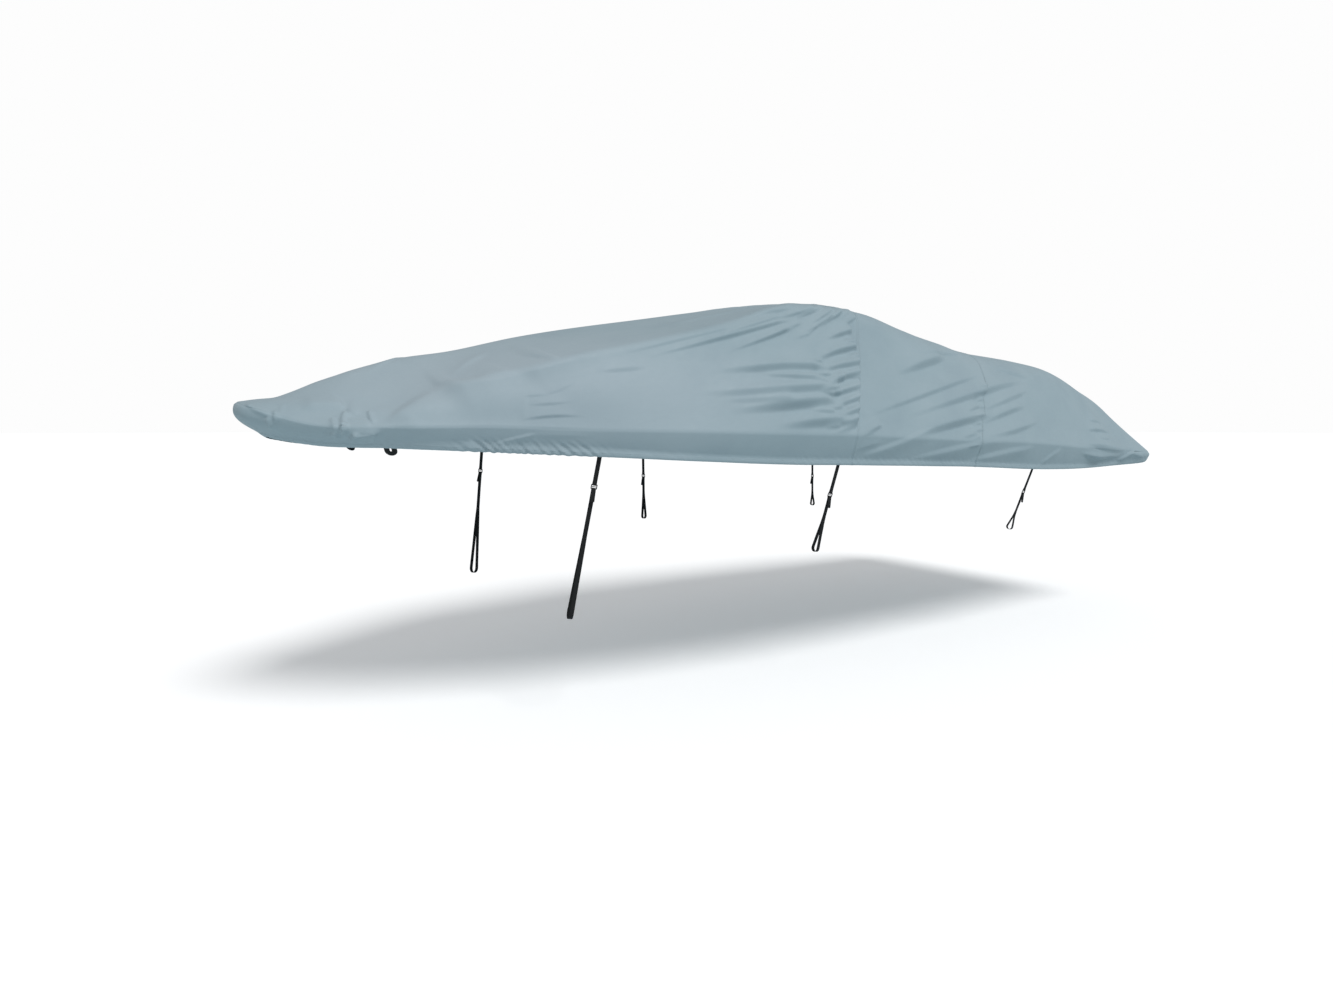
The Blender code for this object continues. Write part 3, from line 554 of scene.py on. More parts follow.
def spread(zones):  # (from, to, step) zones to one rising list
    places = [zones[0][0]]
    for low, high, step in zones:
        count = max(1, round((high - low) / step))
        places += [low + (high - low) * (k + 1) / count for k in range(count)]
    return np.array(places)


kneeLow, kneeHigh = 0.93, 1.04   # levels between which the rows are close, at the gunwale


def halfLevels(along, counts):  # levels from the turned-up hem to the ridge, one row a column
    skirt, knee, side, top = counts
    long = skirtLength(along)[:, None]
    hemLevels = np.array([row[0] for row in hem["section"]])[None, :] / long
    share = np.linspace(0, 1, skirt + 1)[None, 1:]
    skirtLevels = hemLevels[:, -1:] + (kneeLow - hemLevels[:, -1:]) * share
    rest = spread(((kneeLow, kneeHigh, (kneeHigh - kneeLow) / knee),
            (kneeHigh, 2.0, (2.0 - kneeHigh) / side), (2.0, 3.0, 1.0 / top)))[1:]
    return np.concatenate((hemLevels, skirtLevels, np.repeat(rest[None, :], len(along), axis=0)), axis=1)


panels = {  # columns as (from, to, step) along the gunwale; rows as skirt, knee, side, top counts
    "front": {"node": "front_panel", "flat": (4.05, 4.2), "area": 10.9,
        "port": (18, 9, 107, 34), "starboard": (12, 8, 82, 30),
        "zones": ((0.0, 0.44, 0.0115), (0.44, 0.86, 0.0098), (0.86, 1.18, 0.0180),
        (1.18, 2.14, 0.0114), (2.14, 3.22, 0.0180),
        (3.22, frontSeam - 0.015, 0.0084), (frontSeam - 0.015, frontSeam, 0.0025))},
    "middle": {"node": "middle_panel", "flat": (1.3, 4.4), "area": 5.2,
        "port": (16, 9, 130, 60), "starboard": (14, 8, 120, 56),
        "zones": ((frontSeam - cover["lap"], frontSeam + 0.015, 0.0025),
        (frontSeam + 0.015, aftSeam - 0.015, 0.0088),
        (aftSeam - 0.015, aftSeam + cover["lap"], 0.0025))},
    "aft": {"node": "aft_panel", "flat": (3.9, 4.3), "area": 9.2,
        "port": (14, 9, 104, 48), "starboard": (12, 8, 90, 44),
        "zones": ((aftSeam, aftSeam + 0.015, 0.0025), (aftSeam + 0.015, 6.5, 0.0134),
        (6.5, 7.75, 0.0115), (7.75, transom, 0.0220))},
}


def makePanel(name, panel):
    columns = spread(panel["zones"])
    port = halfLevels(columns, panel["port"]) - 3.0
    starboard = 3.0 - halfLevels(columns, panel["starboard"])[:, -2::-1]
    across = np.concatenate((port, starboard), axis=1)
    count = across.shape[1]
    along = np.repeat(columns[:, None], count, axis=1)
    inside = np.full(across.shape, np.nan)
    for k in range(hem["outerFrom"]):
        inside[:, k] = inside[:, count - 1 - k] = hem["section"][k][1]
    base = basePoint(along.ravel(), across.ravel()).reshape(len(columns), count, 3)
    steps = np.linalg.norm(np.diff(base, axis=1), axis=2) + 1e-5
    girth = np.concatenate((np.zeros((len(columns), 1)), np.cumsum(steps, axis=1)), axis=1)
    girth = girth - girth[:, port.shape[1] - 1:port.shape[1]]
    flat = [grid.ravel() for grid in (along, across, girth, inside)]
    points, normals = clothPoints(*flat)
    if name == "middle":  # its laps go under the neighbours' edges
        under = softStep((frontSeam + 0.001 - flat[0]) / 0.003)
        under = under + softStep((flat[0] - aftSeam + 0.001) / 0.003)
        points = points - normals * (cover["lapDrop"] * under)[:, None]
    corner = (np.arange(len(columns) - 1)[:, None] * count + np.arange(count - 1)[None, :]).ravel()
    faces = np.stack([corner, corner + count, corner + count + 1, corner + 1], axis=1)
    mesh = bpy.data.meshes.new(name + "Panel")
    mesh.from_pydata((points - origin).tolist(), [], faces.tolist())
    layer = mesh.uv_layers.new(name="cloth")  # real metres along the gunwale and round the girth
    order = faces.ravel()
    layer.data.foreach_set("uv", np.stack([flat[0][order], flat[2][order]], axis=1).ravel())
    bm = bmesh.new()
    bm.from_mesh(mesh)
    bmesh.ops.remove_doubles(bm, verts=[v for v in bm.verts if abs(v.co.y) < 1e-4], dist=5e-5)
    bm.to_mesh(mesh)
    bm.free()
    mesh.shade_smooth()
    print(name, "panel:", len(columns), "by", count, "points")
    return newObject(name + "Panel", mesh)


# ---- materials
def startMaterial(name, colour, roughness, specular, sheen=0.0):
    material = bpy.data.materials.new(name)
    material.use_nodes = True
    shader = material.node_tree.nodes["Principled BSDF"]
    shader.inputs["Base Color"].default_value = colour
    shader.inputs["Roughness"].default_value = roughness
    shader.inputs["Specular IOR Level"].default_value = specular
    shader.inputs["Sheen Weight"].default_value = sheen
    material.diffuse_color = colour
    return material, material.node_tree, shader


def addRibs(tree, source, direction, pitch):  # even bands, one to each pitch
    return addNode(tree, "ShaderNodeTexWave", {"Scale": 0.31416 / pitch, "Distortion": 0.0},
            {"Vector": source}, wave_type="BANDS", bands_direction=direction).outputs["Fac"]


def addNoise(tree, place, scale, detail, roughness=0.5, distortion=0.0):
    return addNode(tree, "ShaderNodeTexNoise", {"Scale": scale, "Detail": detail, "Roughness": roughness,
            "Distortion": distortion}, {"Vector": place}).outputs["Fac"]


def addRamp(tree, factor, *stops):  # (position, colour) from low to high
    ramp = addNode(tree, "ShaderNodeValToRGB", {}, {"Fac": factor})
    elements = ramp.color_ramp.elements
    for element, (position, colour) in zip(elements, (stops[0], stops[-1])):
        element.position = position
        element.color = hexColour(colour)
    for position, colour in stops[1:-1]:
        elements.new(position).color = hexColour(colour)
    return ramp.outputs["Color"]


def addRange(tree, value, low, high, fromLow=0.0, fromHigh=1.0):
    return addNode(tree, "ShaderNodeMapRange", {"From Min": fromLow, "From Max": fromHigh, "To Min": low,
            "To Max": high}, {"Value": value}).outputs[0]


def addBump(tree, height, distance, strength=1.0, normal=None):
    links = {"Height": height}
    if normal:
        links["Normal"] = normal
    return addNode(tree, "ShaderNodeBump", {"Strength": strength, "Distance": distance}, links).outputs[0]


def multiply(tree, kind, first, second):
    return addNode(tree, kind, {}, {0: first, 1: second}, operation="MULTIPLY").outputs[0]


def feed(tree, shader, sources):
    for name, source in sources.items():
        tree.links.new(source, shader.inputs[name])


weave = {
    "pitch": 0.0034,         # real yarns are 0.5 mm; drawn coarse so that it reads from a step away
    "depth": 0.00030,
    "wrinkle": 0.0010, "crumple": 0.0018,
    "colour": "#97AAB2", "faded": "#9BADB5", "grime": "#92A5AE",
    "paintedForedeckLight": "#AEBAC2",   # painted light: a lighter patch over the foredeck and the bow's upper side, where more light should fall
}


def makeClothMaterial():  # coated polyester, plain weave: a dull slate blue with a faint bloom
    material, tree, shader = startMaterial("wovenCoatedPolyester", hexColour(weave["colour"]), 0.66, 0.34,
            0.10)
    place = addNode(tree, "ShaderNodeUVMap", uv_map="cloth").outputs["UV"]
    bands = [addRibs(tree, place, direction, weave["pitch"]) for direction in ("X", "Y")]
    halves = [addNode(tree, "ShaderNodeMath", {1: 0.5}, {0: band}, operation="SUBTRACT").outputs[0]
            for band in bands]
    yarns = multiply(tree, "ShaderNodeMath", *halves)
    stretched = addNode(tree, "ShaderNodeMapping", {"Scale": (0.55, 1.0, 1.0), "Rotation": (0, 0, 0.35)},
            {"Vector": place}).outputs[0]
    fine = addNoise(tree, stretched, 34.0, 4.0, 0.55)
    broad = addNoise(tree, stretched, 7.5, 3.0, 0.5, 0.6)
    patches = addNoise(tree, place, 2.3, 5.0, 0.62)
    bloom = addRamp(tree, patches, (0.28, weave["grime"]), (0.50, weave["colour"]), (0.74, weave["faded"]))
    # painted light: a round patch centred over the foredeck lightens the cloth there, standing in for light
    # falling on it
    fromPeak = addNode(tree, "ShaderNodeTexCoord").outputs["Object"]
    around = addNode(tree, "ShaderNodeMapping", {"Location": (1.44, 0.0, 1.76), "Scale": (0.6, 0.455, 2.2)},
            {"Vector": fromPeak})
    paintedLightMask = addNode(tree, "ShaderNodeTexGradient", {}, {"Vector": around.outputs[0]},
            gradient_type="SPHERICAL")
    paintedForedeckLight = addNode(tree, "ShaderNodeMixRGB", {"Color2": hexColour(weave["paintedForedeckLight"])},
            {"Fac": paintedLightMask.outputs["Fac"], "Color1": bloom})
    shade = addRange(tree, yarns, 0.93, 1.05, -0.25, 0.25)
    crumple = addBump(tree, broad, weave["crumple"], 0.8)
    wrinkle = addBump(tree, fine, weave["wrinkle"], 0.8, crumple)
    feed(tree, shader, {
        "Base Color": multiply(tree, "ShaderNodeVectorMath", paintedForedeckLight.outputs[0], shade),
        "Roughness": addRange(tree, fine, 0.56, 0.76, 0.3, 0.7),
        "Normal": addBump(tree, yarns, weave["depth"], 1.0, wrinkle)})
    return material


webbingLook = {"rib": 0.0021, "selvedge": 0.0030, "depth": 0.00035, "colour": "#0F1012", "worn": "#1B1C1E"}


def makeWebbingMaterial():  # woven polypropylene tape: black, cross-ribbed, with a little dust on it
    colour = webbingLook["colour"]
    material, tree, shader = startMaterial("blackWebbingTape", hexColour(colour), 0.72, 0.36)
    place = addNode(tree, "ShaderNodeUVMap", uv_map="tape").outputs["UV"]
    weft = multiply(tree, "ShaderNodeMath", addRibs(tree, place, "X", webbingLook["rib"]),
            addRibs(tree, place, "Y", webbingLook["selvedge"]))
    dust = addNoise(tree, place, 60.0, 4.0, 0.6)
    tone = addRamp(tree, dust, (0.38, colour), (0.78, webbingLook["worn"]))
    shade = addRange(tree, weft, 0.6, 1.25)
    feed(tree, shader, {
        "Base Color": multiply(tree, "ShaderNodeVectorMath", tone, shade),
        "Roughness": addRange(tree, dust, 0.60, 0.84), "Normal": addBump(tree, weft, webbingLook["depth"])})
    return material


def makeBuckleMaterial():  # moulded acetal: black, slightly glossy, fine moulded grain with scuffs
    material, tree, shader = startMaterial("mouldedBlackAcetal", hexColour("#1E1F21"), 0.42, 0.5)
    place = addNode(tree, "ShaderNodeTexCoord").outputs["Object"]
    grain = addNoise(tree, place, 900.0, 2.0)
    scuffs = addNoise(tree, place, 120.0, 4.0, 0.7)
    feed(tree, shader, {
        "Base Color": addRamp(tree, scuffs, (0.45, "#1B1C1E"), (0.80, "#34363A")),
        "Roughness": addRange(tree, scuffs, 0.34, 0.58, 0.3, 0.7),
        "Normal": addBump(tree, grain, 0.0001, 0.5)})
    return material


def makeThreadMaterial():  # bonded polyester thread: paler than the cloth, with a soft gloss and its twist
    material, tree, shader = startMaterial("bondedThread", hexColour("#8FA3AB"), 0.5, 0.5)
    place = addNode(tree, "ShaderNodeTexCoord").outputs["Object"]
    twist = addNode(tree, "ShaderNodeTexWave", {"Scale": 260.0, "Distortion": 1.5}, {"Vector": place},
            wave_type="BANDS", bands_direction="DIAGONAL").outputs["Fac"]
    feed(tree, shader, {
        "Base Color": addRamp(tree, twist, (0.0, "#74888F"), (1.0, "#9FB2B9")),
        "Normal": addBump(tree, twist, 0.0002, 0.6)})
    return material


clothMaterial = makeClothMaterial()
webbingMaterial = makeWebbingMaterial()
buckleMaterial = makeBuckleMaterial()
threadMaterial = makeThreadMaterial()
print("materials made")

panelPieces = {name: makePanel(name, panel) for name, panel in panels.items()}
for name, piece in panelPieces.items():
    finishPiece(piece, clothMaterial, [panels[name]["node"]])

# ---- webbing: tabs, straps and bow loops, routed as in the frame
strapSizes = {  # hem aft, buckle drop, fork drop, rail drop, rail forward, rail in, rail width
    "bow": (1.65, 0.165, 0.47, 0.93, 0.17, 0.14, 0.070),
    "mid": (3.20, 0.190, 0.36, 0.58, 0.08, 0.13, 0.050),
    "aft": (5.26, 0.180, 0.36, 0.50, 0.10, 0.12, 0.045),
}
tape = {
    "width": 0.025, "thick": 0.0015, "pitch": 0.0024, "seat": 0.0003,
    "tail": 0.070, "lap": 0.028, "bend": 0.008, "belowHem": 0.030, "nearBar": 0.022,
    "tailOut": 0.021, "tailHalf": 0.010, "tailLate": 0.0165, "pastBar": 0.025,
    "partAbove": 0.020, "partBelow": 0.030, "partOpen": 0.10, "endLift": 0.4,
    "step": 0.012, "ripple": 0.05,
    "edge": ((-0.5, 0.0), (-0.486, 0.36), (-0.455, 0.5), (-0.16, 0.5), (0.16, 0.5), (0.455, 0.5),
        (0.486, 0.36), (0.5, 0.0), (0.486, -0.36), (0.455, -0.5), (0.16, -0.5), (-0.16, -0.5),
        (-0.455, -0.5), (-0.486, -0.36)),
}
buckle = {"width": 0.036, "length": 0.026, "thick": 0.0044, "sideBar": 0.0045, "bar": 0.0044,
        "soften": 0.0011}
bowLoop = {"hemAft": 0.645, "outer": 0.033, "inner": 0.0045, "straight": 0.026, "lap": 0.022,
        "thick": 0.0020, "seat": 0.0022}


def alongOfHem(aft):
    low, high = 0.0, alongRibs[-5]
    for _ in range(40):
        middle = 0.5 * (low + high)
        if basePoint(np.array([middle]), np.array([-3.0]))[0, 0] < aft:
            low = middle
        else:
            high = middle
    return 0.5 * (low + high)


def hangerFrame(aft):
    along = np.array([alongOfHem(aft)])
    hemEdge, gunwale = (rows[0] for rows in ribPoints(along)[:2])
    out = outward(along)[0]
    downSkirt = unit(hemEdge - gunwale)
    return hemEdge, out, downSkirt, unit(out - downSkirt * (out @ downSkirt))


def arc(centre, radius, first, last, steps):
    angles = np.radians(np.linspace(first, last, steps))
    return [(centre[0] + radius * math.sin(a), centre[1] + radius * math.cos(a)) for a in angles]


def evenRoute(path, wides, step):  # closer points along the straight runs
    points, sides = [path[0]], [wides[0]]
    for k in range(1, len(path)):
        count = max(1, math.ceil(np.linalg.norm(path[k] - path[k - 1]) / step))
        for n in range(1, count + 1):
            points.append(path[k - 1] + (path[k] - path[k - 1]) * n / count)
            sides.append(wides[k - 1] + (wides[k] - wides[k - 1]) * n / count)
    points, sides = np.array(points), np.array(sides)
    smooth = points.copy()
    smooth[1:-1] = 0.25 * points[:-2] + 0.5 * points[1:-1] + 0.25 * points[2:]
    return smooth, sides


def makeTape(name, path, wides, width, thick, ripple=0.0):
    points, sides = evenRoute(path, wides, tape["step"])
    runs = unit(np.gradient(points, axis=0))
    distance = np.concatenate(([0.0], np.cumsum(np.linalg.norm(np.diff(points, axis=0), axis=1))))
    sides = unit(sides - runs * (sides * runs).sum(1)[:, None])
    faces = np.cross(runs, sides)
    turn = ripple * np.sin(7.0 * distance) * np.sin(19.0 * distance + 0.6)
    turn = turn * softStep(distance / 0.1) * softStep((distance[-1] - distance) / 0.1)
    sides, faces = (sides * np.cos(turn)[:, None] + faces * np.sin(turn)[:, None],
            faces * np.cos(turn)[:, None] - sides * np.sin(turn)[:, None])
    bm = bmesh.new()
    layer = bm.loops.layers.uv.new("tape")
    rings = [[bm.verts.new(point + side * (w * width) + face * (t * thick) - origin)
            for w, t in tape["edge"]] for point, side, face in zip(points, sides, faces)]
    size = len(tape["edge"])
    for k in range(len(rings) - 1):
        for n in range(size):
            nextN = (n + 1) % size
            face = bm.faces.new((rings[k][n], rings[k][nextN], rings[k + 1][nextN], rings[k + 1][n]))
            spots = ((k, n), (k, nextN), (k + 1, nextN), (k + 1, n))
            for loop, (ring, corner) in zip(face.loops, spots):
                loop[layer].uv = (distance[ring], tape["edge"][corner][0] * width)
    for cap in (rings[0][::-1], rings[-1]):
        bm.faces.new(cap)
    bmesh.ops.recalc_face_normals(bm, faces=bm.faces)
    return newPiece(name, bm, 60)


def makeBuckle(name, middle, wide, down, off):  # moulded three-bar slider with soft edges
    halfWidth, halfLength, halfBar = 0.5 * buckle["width"], 0.5 * buckle["length"], 0.5 * buckle["bar"]
    xs = (-halfWidth, buckle["sideBar"] - halfWidth, halfWidth - buckle["sideBar"], halfWidth)
    ys = (-halfLength, buckle["bar"] - halfLength, -halfBar, halfBar, halfLength - buckle["bar"], halfLength)
    bm = bmesh.new()
    corner = [[bm.verts.new(middle + wide * x + down * y - off * 0.5 * buckle["thick"] - origin) for y in ys]
            for x in xs]
    for i in range(3):
        for j in range(5):
            if i == 1 and j in (1, 3):
                continue
            bm.faces.new((corner[i][j], corner[i + 1][j], corner[i + 1][j + 1], corner[i][j + 1]))
    raised = bmesh.ops.extrude_face_region(bm, geom=bm.faces[:])["geom"]
    upper = [part for part in raised if isinstance(part, bmesh.types.BMVert)]
    bmesh.ops.translate(bm, vec=off * buckle["thick"], verts=upper)
    bmesh.ops.recalc_face_normals(bm, faces=bm.faces)
    sharp = [edge for edge in bm.edges if edge.calc_face_angle(0.0) > 0.5]
    bmesh.ops.bevel(bm, geom=sharp, offset=buckle["soften"], segments=3, profile=0.5, affect="EDGES")
    return newPiece(name, bm, 40)


def makeStrap(name, side):
    hemAft, buckleDrop, forkDrop, railDrop, railForward, railIn, railWidth = strapSizes[name]
    hemEdge, out, downSkirt, square = hangerFrame(hemAft)
    down = unit(-out * railIn + np.array([-railForward, 0.0, -railDrop]))
    off = unit(out - down * (out @ down))
    wide = np.cross(off, down)
    upSkirt = unit(square * (down @ square) - down)
    skirtWide = np.cross(upSkirt, square)
    mirror = np.array([1.0, -side, 1.0])
    label = name + ("Port" if side < 0 else "Starboard")
    node = name + ("_port" if side < 0 else "_starboard")
    halfBar = 0.5 * buckle["bar"]
    wrap = halfBar * math.sqrt(2) + tape["seat"] + 0.5 * tape["thick"]
    halfPitch = 0.5 * tape["pitch"]
    root = hemEdge - square * (cover["cloth"] + 2 * tape["seat"] + 0.5 * tape["thick"] + halfPitch)

    def spot(point):
        return (root + down * point[0] + off * point[1]) * mirror

    nearBar = buckleDrop - tape["nearBar"]
    loop = [(tape["belowHem"], halfPitch), (nearBar, halfPitch)] + arc((buckleDrop, 0.0), wrap, 0, 180, 15)
    loop += [(nearBar, -halfPitch), (tape["belowHem"], -halfPitch)]
    path = [(root + square * halfPitch + upSkirt * rise) * mirror for rise in (tape["lap"], -tape["bend"])]
    path += [spot(point) for point in loop]
    path += [(root - square * halfPitch + upSkirt * rise) * mirror for rise in (-tape["bend"], tape["lap"])]
    wides = [skirtWide * mirror] * 2 + [wide * mirror] * len(loop) + [skirtWide * mirror] * 2
    tab = makeTape("tab" + label, path, wides, tape["width"], tape["thick"])
    finishPiece(tab, webbingMaterial, ["tab_" + node])

    barPitch = 0.5 * (buckle["length"] - buckle["bar"])
    slider = makeBuckle("buckle" + label, spot((buckleDrop + barPitch, 0.0)), wide * mirror, down * mirror,
            off * mirror)
    finishPiece(slider, buckleMaterial, ["buckle_" + node])

    lowBar = buckleDrop + 2 * barPitch
    railTurn = (railDrop - 0.5 * railWidth, 0.0)
    above, below = forkDrop - tape["partAbove"], forkDrop + tape["partBelow"]
    opened = tape["partOpen"] * railWidth
    run = [(lowBar + tape["tail"], tape["tailOut"]), (lowBar + 0.70 * tape["tail"], tape["tailLate"]),
           (lowBar + 0.35 * tape["tail"], tape["tailHalf"])]
    run += arc((lowBar, 0.0), wrap, 0, -180, 15)
    run += [(lowBar + tape["pastBar"], -halfPitch), (above, -halfPitch), (below, -opened)]
    run += arc(railTurn, 0.5 * railWidth, 180, 0, 25)
    run += [(below, opened), (above, halfPitch), (lowBar + tape["pastBar"], halfPitch),
            (lowBar + halfBar + tape["seat"], tape["endLift"] * halfPitch)]
    strap = makeTape("strap" + label, [spot(point) for point in run], [wide * mirror] * len(run),
            tape["width"], tape["thick"], tape["ripple"])
    finishPiece(strap, webbingMaterial, ["strap_" + node])


def makeBowLoop(side):
    hemEdge, _, downSkirt, square = hangerFrame(bowLoop["hemAft"])
    sideways = np.cross(square, downSkirt)
    mirror = np.array([1.0, -side, 1.0])
    root = hemEdge - square * (cover["cloth"] + bowLoop["seat"] + 0.5 * bowLoop["thick"])
    middleOut = 0.5 * (bowLoop["outer"] + bowLoop["inner"])
    turn = (bowLoop["straight"], 0.0)
    line = [(-bowLoop["lap"], -middleOut)] + arc(turn, middleOut, 180, 0, 21) + [(-bowLoop["lap"], middleOut)]
    path = [(root + downSkirt * y + sideways * x) * mirror for y, x in line]
    runs = np.gradient(np.array(path), axis=0)
    wides = [np.cross(run, square * mirror) for run in runs]
    label = "Port" if side < 0 else "Starboard"
    loop = makeTape("bowLoop" + label, path, [unit(w) for w in wides], bowLoop["outer"] - bowLoop["inner"],
            bowLoop["thick"])
    finishPiece(loop, webbingMaterial, ["loop_" + label.lower()])


for side in (-1, 1):
    makeBowLoop(side)
    for name in strapSizes:
        makeStrap(name, side)
print("webbing and buckles made")

# ---- thread: lock stitches along the hem, both felled seams and the boxes that hold the tabs
stitch = {"pitch": 0.0092, "length": 0.0064, "width": 0.0013,  # real ones are 3 mm; drawn longer
        "seed": 4, "seamRow": 0.0055, "boxHalf": 0.009, "boxLow": 0.006, "boxHigh": 0.026,
        "proud": 0.0002, "fromEnds": 0.03, "girthSteps": 161}


def buildStitchTree():
    tree = bpy.data.node_groups.new("threadStitches", "GeometryNodeTree")
    sockets = (("Geometry", "INPUT", "Geometry"), ("pitch", "INPUT", "Float"), ("length", "INPUT", "Float"),
            ("width", "INPUT", "Float"), ("seed", "INPUT", "Int"), ("thread", "INPUT", "Material"),
            ("Geometry", "OUTPUT", "Geometry"))
    for name, way, kind in sockets:
        tree.interface.new_socket(name, in_out=way, socket_type="NodeSocket" + kind)
    given = addNode(tree, "NodeGroupInput").outputs
    curve = addNode(tree, "GeometryNodeMeshToCurve", {}, {"Mesh": given["Geometry"]})
    even = addNode(tree, "GeometryNodeResampleCurve", {},
            {"Curve": curve.outputs[0], "Length": given["pitch"]}, mode="LENGTH")
    tangent = addNode(tree, "GeometryNodeInputTangent")
    turn = addNode(tree, "FunctionNodeAlignRotationToVector", {}, {"Vector": tangent.outputs[0]}, axis="X")
    ball = addNode(tree, "GeometryNodeMeshUVSphere", {"Segments": 6, "Rings": 4, "Radius": 0.5})
    size = addNode(tree, "ShaderNodeCombineXYZ", {},
            {"X": given["length"], "Y": given["width"], "Z": given["width"]})
    drawn = addNode(tree, "GeometryNodeTransform", {},
            {"Geometry": ball.outputs["Mesh"], "Scale": size.outputs[0]})
    uneven = addNode(tree, "FunctionNodeRandomValue", {"Min": (0.86, 0.9, 0.9), "Max": (1.08, 1.1, 1.1)},
            {"Seed": given["seed"]}, data_type="FLOAT_VECTOR")
    row = addNode(tree, "GeometryNodeInstanceOnPoints", {},
            {"Points": even.outputs[0], "Instance": drawn.outputs[0], "Rotation": turn.outputs[0],
            "Scale": uneven.outputs[0]})
    real = addNode(tree, "GeometryNodeRealizeInstances", {}, {"Geometry": row.outputs[0]})
    smooth = addNode(tree, "GeometryNodeSetShadeSmooth", {}, {"Geometry": real.outputs[0]})
    painted = addNode(tree, "GeometryNodeSetMaterial", {},
            {"Geometry": smooth.outputs[0], "Material": given["thread"]})
    addNode(tree, "NodeGroupOutput", {}, {"Geometry": painted.outputs[0]})
    return tree


stitchTree = buildStitchTree()


def girthAt(along, across):  # distance from the ridge over the smooth cover, as the panels have it
    steps = stitch["girthSteps"]
    grid = across[:, None] * np.linspace(0, 1, steps)[None, :]
    spots = basePoint(np.repeat(along, steps), grid.ravel()).reshape(len(along), steps, 3)
    return np.linalg.norm(np.diff(spots, axis=1), axis=2).sum(1) * np.sign(across)


def stitchRow(along, across):  # a row on the cover's outer face, half sunk into it
    points, normals = clothPoints(along, across, girthAt(along, across))
    return points + normals * stitch["proud"] - origin


def hemStitches(along, sign, height):  # the same at a height above the hem's edge
    return stitchRow(along, sign * (3.0 - height / skirtLength(along)))


def sewRows(name, rows):
    vertices, edges = [], []
    for row in rows:
        first = len(vertices)
        vertices += row.tolist()
        edges += [(first + k, first + k + 1) for k in range(len(row) - 1)]
    mesh = bpy.data.meshes.new(name)
    mesh.from_pydata(vertices, edges, [])
    piece = newObject(name, mesh)
    modifier = piece.modifiers.new("stitches", "NODES")
    modifier.node_group = stitchTree
    values = stitch | {"thread": threadMaterial}
    for item in stitchTree.interface.items_tree:
        if item.in_out == "INPUT" and item.name in values:
            modifier[item.identifier] = values[item.name]
    bpy.context.view_layer.update()
    made = bpy.data.meshes.new_from_object(piece.evaluated_get(bpy.context.evaluated_depsgraph_get()))
    piece.modifiers.clear()
    piece.data = made
    return finishPiece(piece, threadMaterial)


def tabBoxes(aftPlaces, low, high):  # a sewn box on the hem over each tab
    half, boxLow, boxHigh = stitch["boxHalf"], stitch["boxLow"], stitch["boxHigh"]
    turns = np.linspace(0, 4, 25)
    height = np.interp(turns, range(5), (boxLow, boxLow, boxHigh, boxHigh, boxLow))
    rows = []
    for aft in aftPlaces:
        middle = alongOfHem(aft)
        if low < middle < high:
            along = np.interp(turns, range(5), [middle + half * turn for turn in (-1, 1, 1, -1, -1)])
            rows += [hemStitches(along, sign, height) for sign in (-1, 1)]
    return rows


def seamRow(along):
    across = spread(((-2.99, -2.0, 0.04), (-2.0, -1.0, 0.009), (-1.0, 1.0, 0.02), (1.0, 2.0, 0.009),
            (2.0, 2.99, 0.04)))
    return stitchRow(np.full(len(across), along), across)


tabPlaces = [row[0] for row in strapSizes.values()]
spans = {"front": (stitch["fromEnds"], frontSeam), "middle": (frontSeam, aftSeam),
        "aft": (aftSeam, transom - stitch["fromEnds"])}
seamRows = {"front": [frontSeam - stitch["seamRow"]],
        "middle": [frontSeam + stitch["seamRow"], aftSeam - stitch["seamRow"]],
        "aft": [aftSeam + stitch["seamRow"]]}
for name, (low, high) in spans.items():
    along = np.arange(low, high, 0.008)
    rows = [hemStitches(along, sign, hem["stitchHeight"]) for sign in (-1, 1)]
    rows += tabBoxes(tabPlaces, low, high)
    rows += [seamRow(place) for place in seamRows[name]]
    sewRows(name + "Stitches", rows)
print("stitches sewn")

# ---- floor, light and camera
studio = {
    "ground": -2.60736, "floorHalf": 260.0, "floorColour": "#FBFBFB", "bounceColour": "#D0DEE2",
    "floorGlow": 0.25,
    "sunFrom": (0.05, -0.575, 0.817), "sunStrength": 2.09, "sunAngle": 24.0,
    "skyStrength": 0.32, "skyColour": "#F6FAFE", "backdrop": "#FDFDFD",
}


def seenByCamera(tree, others, camera, output):  # the camera sees one shader, all other rays the other
    rays = addNode(tree, "ShaderNodeLightPath")
    mixed = addNode(tree, "ShaderNodeMixShader", {},
            {0: rays.outputs["Is Camera Ray"], 1: others.outputs[0], 2: camera.outputs[0]})
    tree.links.new(mixed.outputs[0], tree.nodes[output].inputs["Surface"])


def turnTo(thing, direction, axis):
    thing.rotation_mode = "QUATERNION"
    thing.rotation_quaternion = Vector(direction).to_track_quat(axis, "Y")


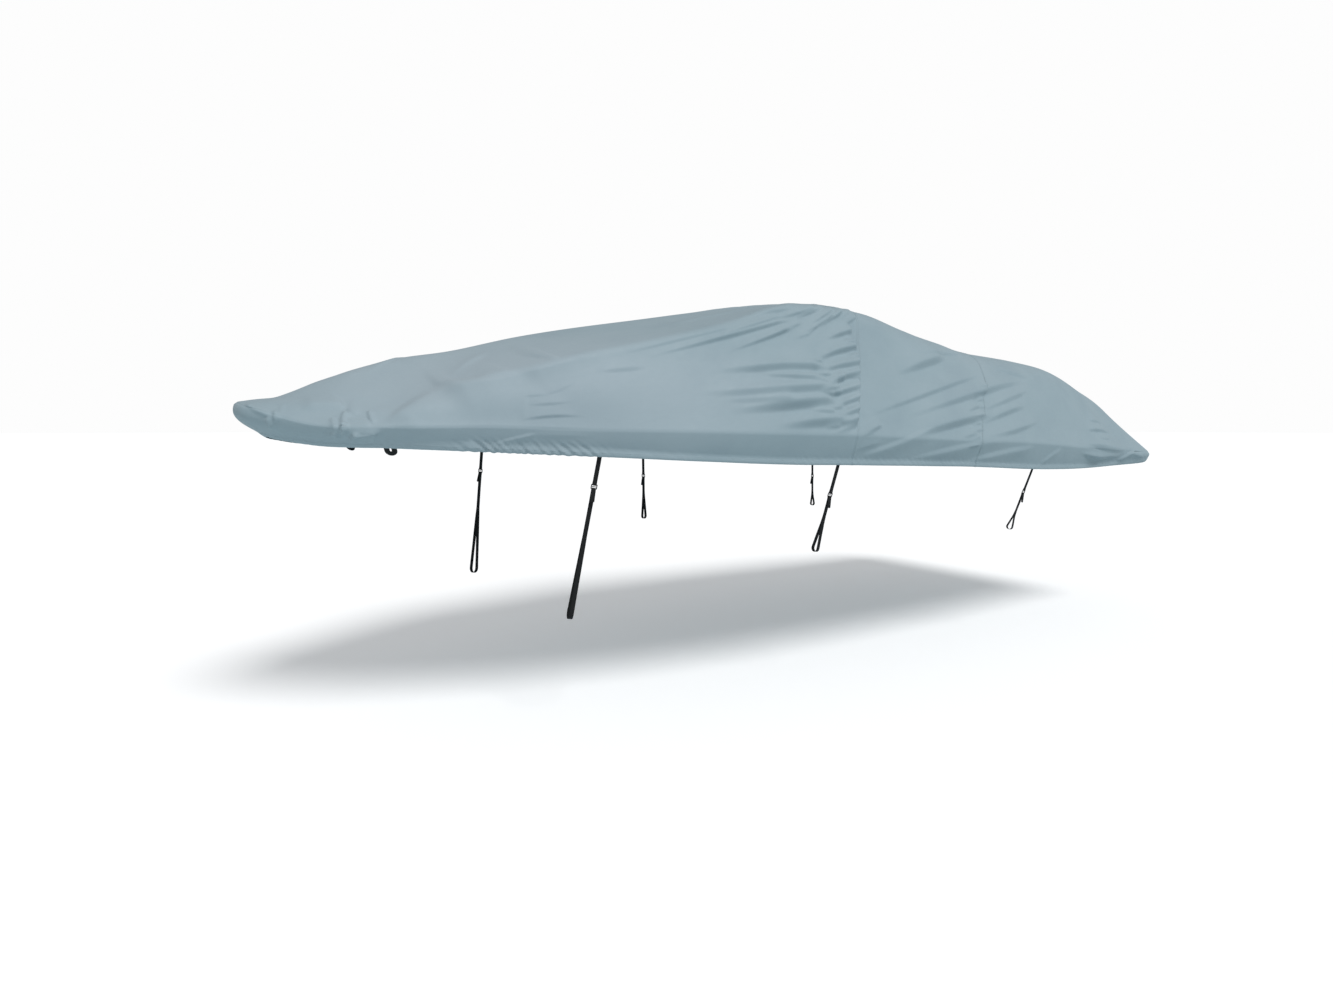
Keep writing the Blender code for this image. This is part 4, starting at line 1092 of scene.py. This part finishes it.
floorMesh = bpy.data.meshes.new("paleFloor")
half = studio["floorHalf"]
corners = [(x * half, y * half, studio["ground"]) for x, y in ((-1, -1), (1, -1), (1, 1), (-1, 1))]
floorMesh.from_pydata(corners, [], [(0, 1, 2, 3)])
floor = newObject("paleFloor", floorMesh)
floorColour = hexColour(studio["floorColour"])
floorMaterial, floorTree, floorShader = startMaterial("paintedStudioFloor", floorColour, 0.9, 0.1)
floorShader.inputs["Emission Color"].default_value = floorColour
floorShader.inputs["Emission Strength"].default_value = studio["floorGlow"]
bounce = addNode(floorTree, "ShaderNodeBsdfDiffuse", {"Color": hexColour(studio["bounceColour"])})
seenByCamera(floorTree, bounce, floorShader, "Material Output")
floorMesh.materials.append(floorMaterial)

world = bpy.data.worlds.new("studioSky")
scene.world = world
world.use_nodes = True
sky = world.node_tree.nodes["Background"]
sky.inputs["Color"].default_value = hexColour(studio["skyColour"])
sky.inputs["Strength"].default_value = studio["skyStrength"]
shown = addNode(world.node_tree, "ShaderNodeBackground", {"Color": hexColour(studio["backdrop"]),
        "Strength": 1.0})
seenByCamera(world.node_tree, sky, shown, "World Output")

sun = bpy.data.lights.new("softKey", "SUN")
sun.energy = studio["sunStrength"]
sun.angle = math.radians(studio["sunAngle"])
turnTo(newObject("softKey", sun), studio["sunFrom"], "Z")

card = {"place": (-5.20, -1.60, -2.45), "aim": (-3.75, -0.35, -0.95), "size": (1.5, 1.0), "power": 8.0}
cardLight = bpy.data.lights.new("bowFill", "AREA")  # white card on the floor that lifts the bow's underside
cardLight.shape = "RECTANGLE"
cardLight.size, cardLight.size_y = card["size"]
cardLight.energy = card["power"]
fill = newObject("bowFill", cardLight)
fill.location = card["place"]
turnTo(fill, Vector(card["place"]) - Vector(card["aim"]), "Z")

view = {"place": (-4.2986, -4.5784, -0.9697), "yaw": 57.1, "pitch": 5.46, "lens": 20.52}
cameraData = bpy.data.cameras.new("photographer")
cameraData.lens = view["lens"]
cameraData.sensor_width = 36.0
cameraData.sensor_fit = "HORIZONTAL"
cameraData.clip_end = 600.0
camera = newObject("photographer", cameraData)
yaw, pitch = math.radians(view["yaw"]), math.radians(view["pitch"])
aim = (math.cos(yaw) * math.cos(pitch), math.sin(yaw) * math.cos(pitch), -math.sin(pitch))
camera.location = view["place"]
turnTo(camera, aim, "-Z")
scene.camera = camera
scene.view_settings.view_transform = "Standard"
print("studio set")
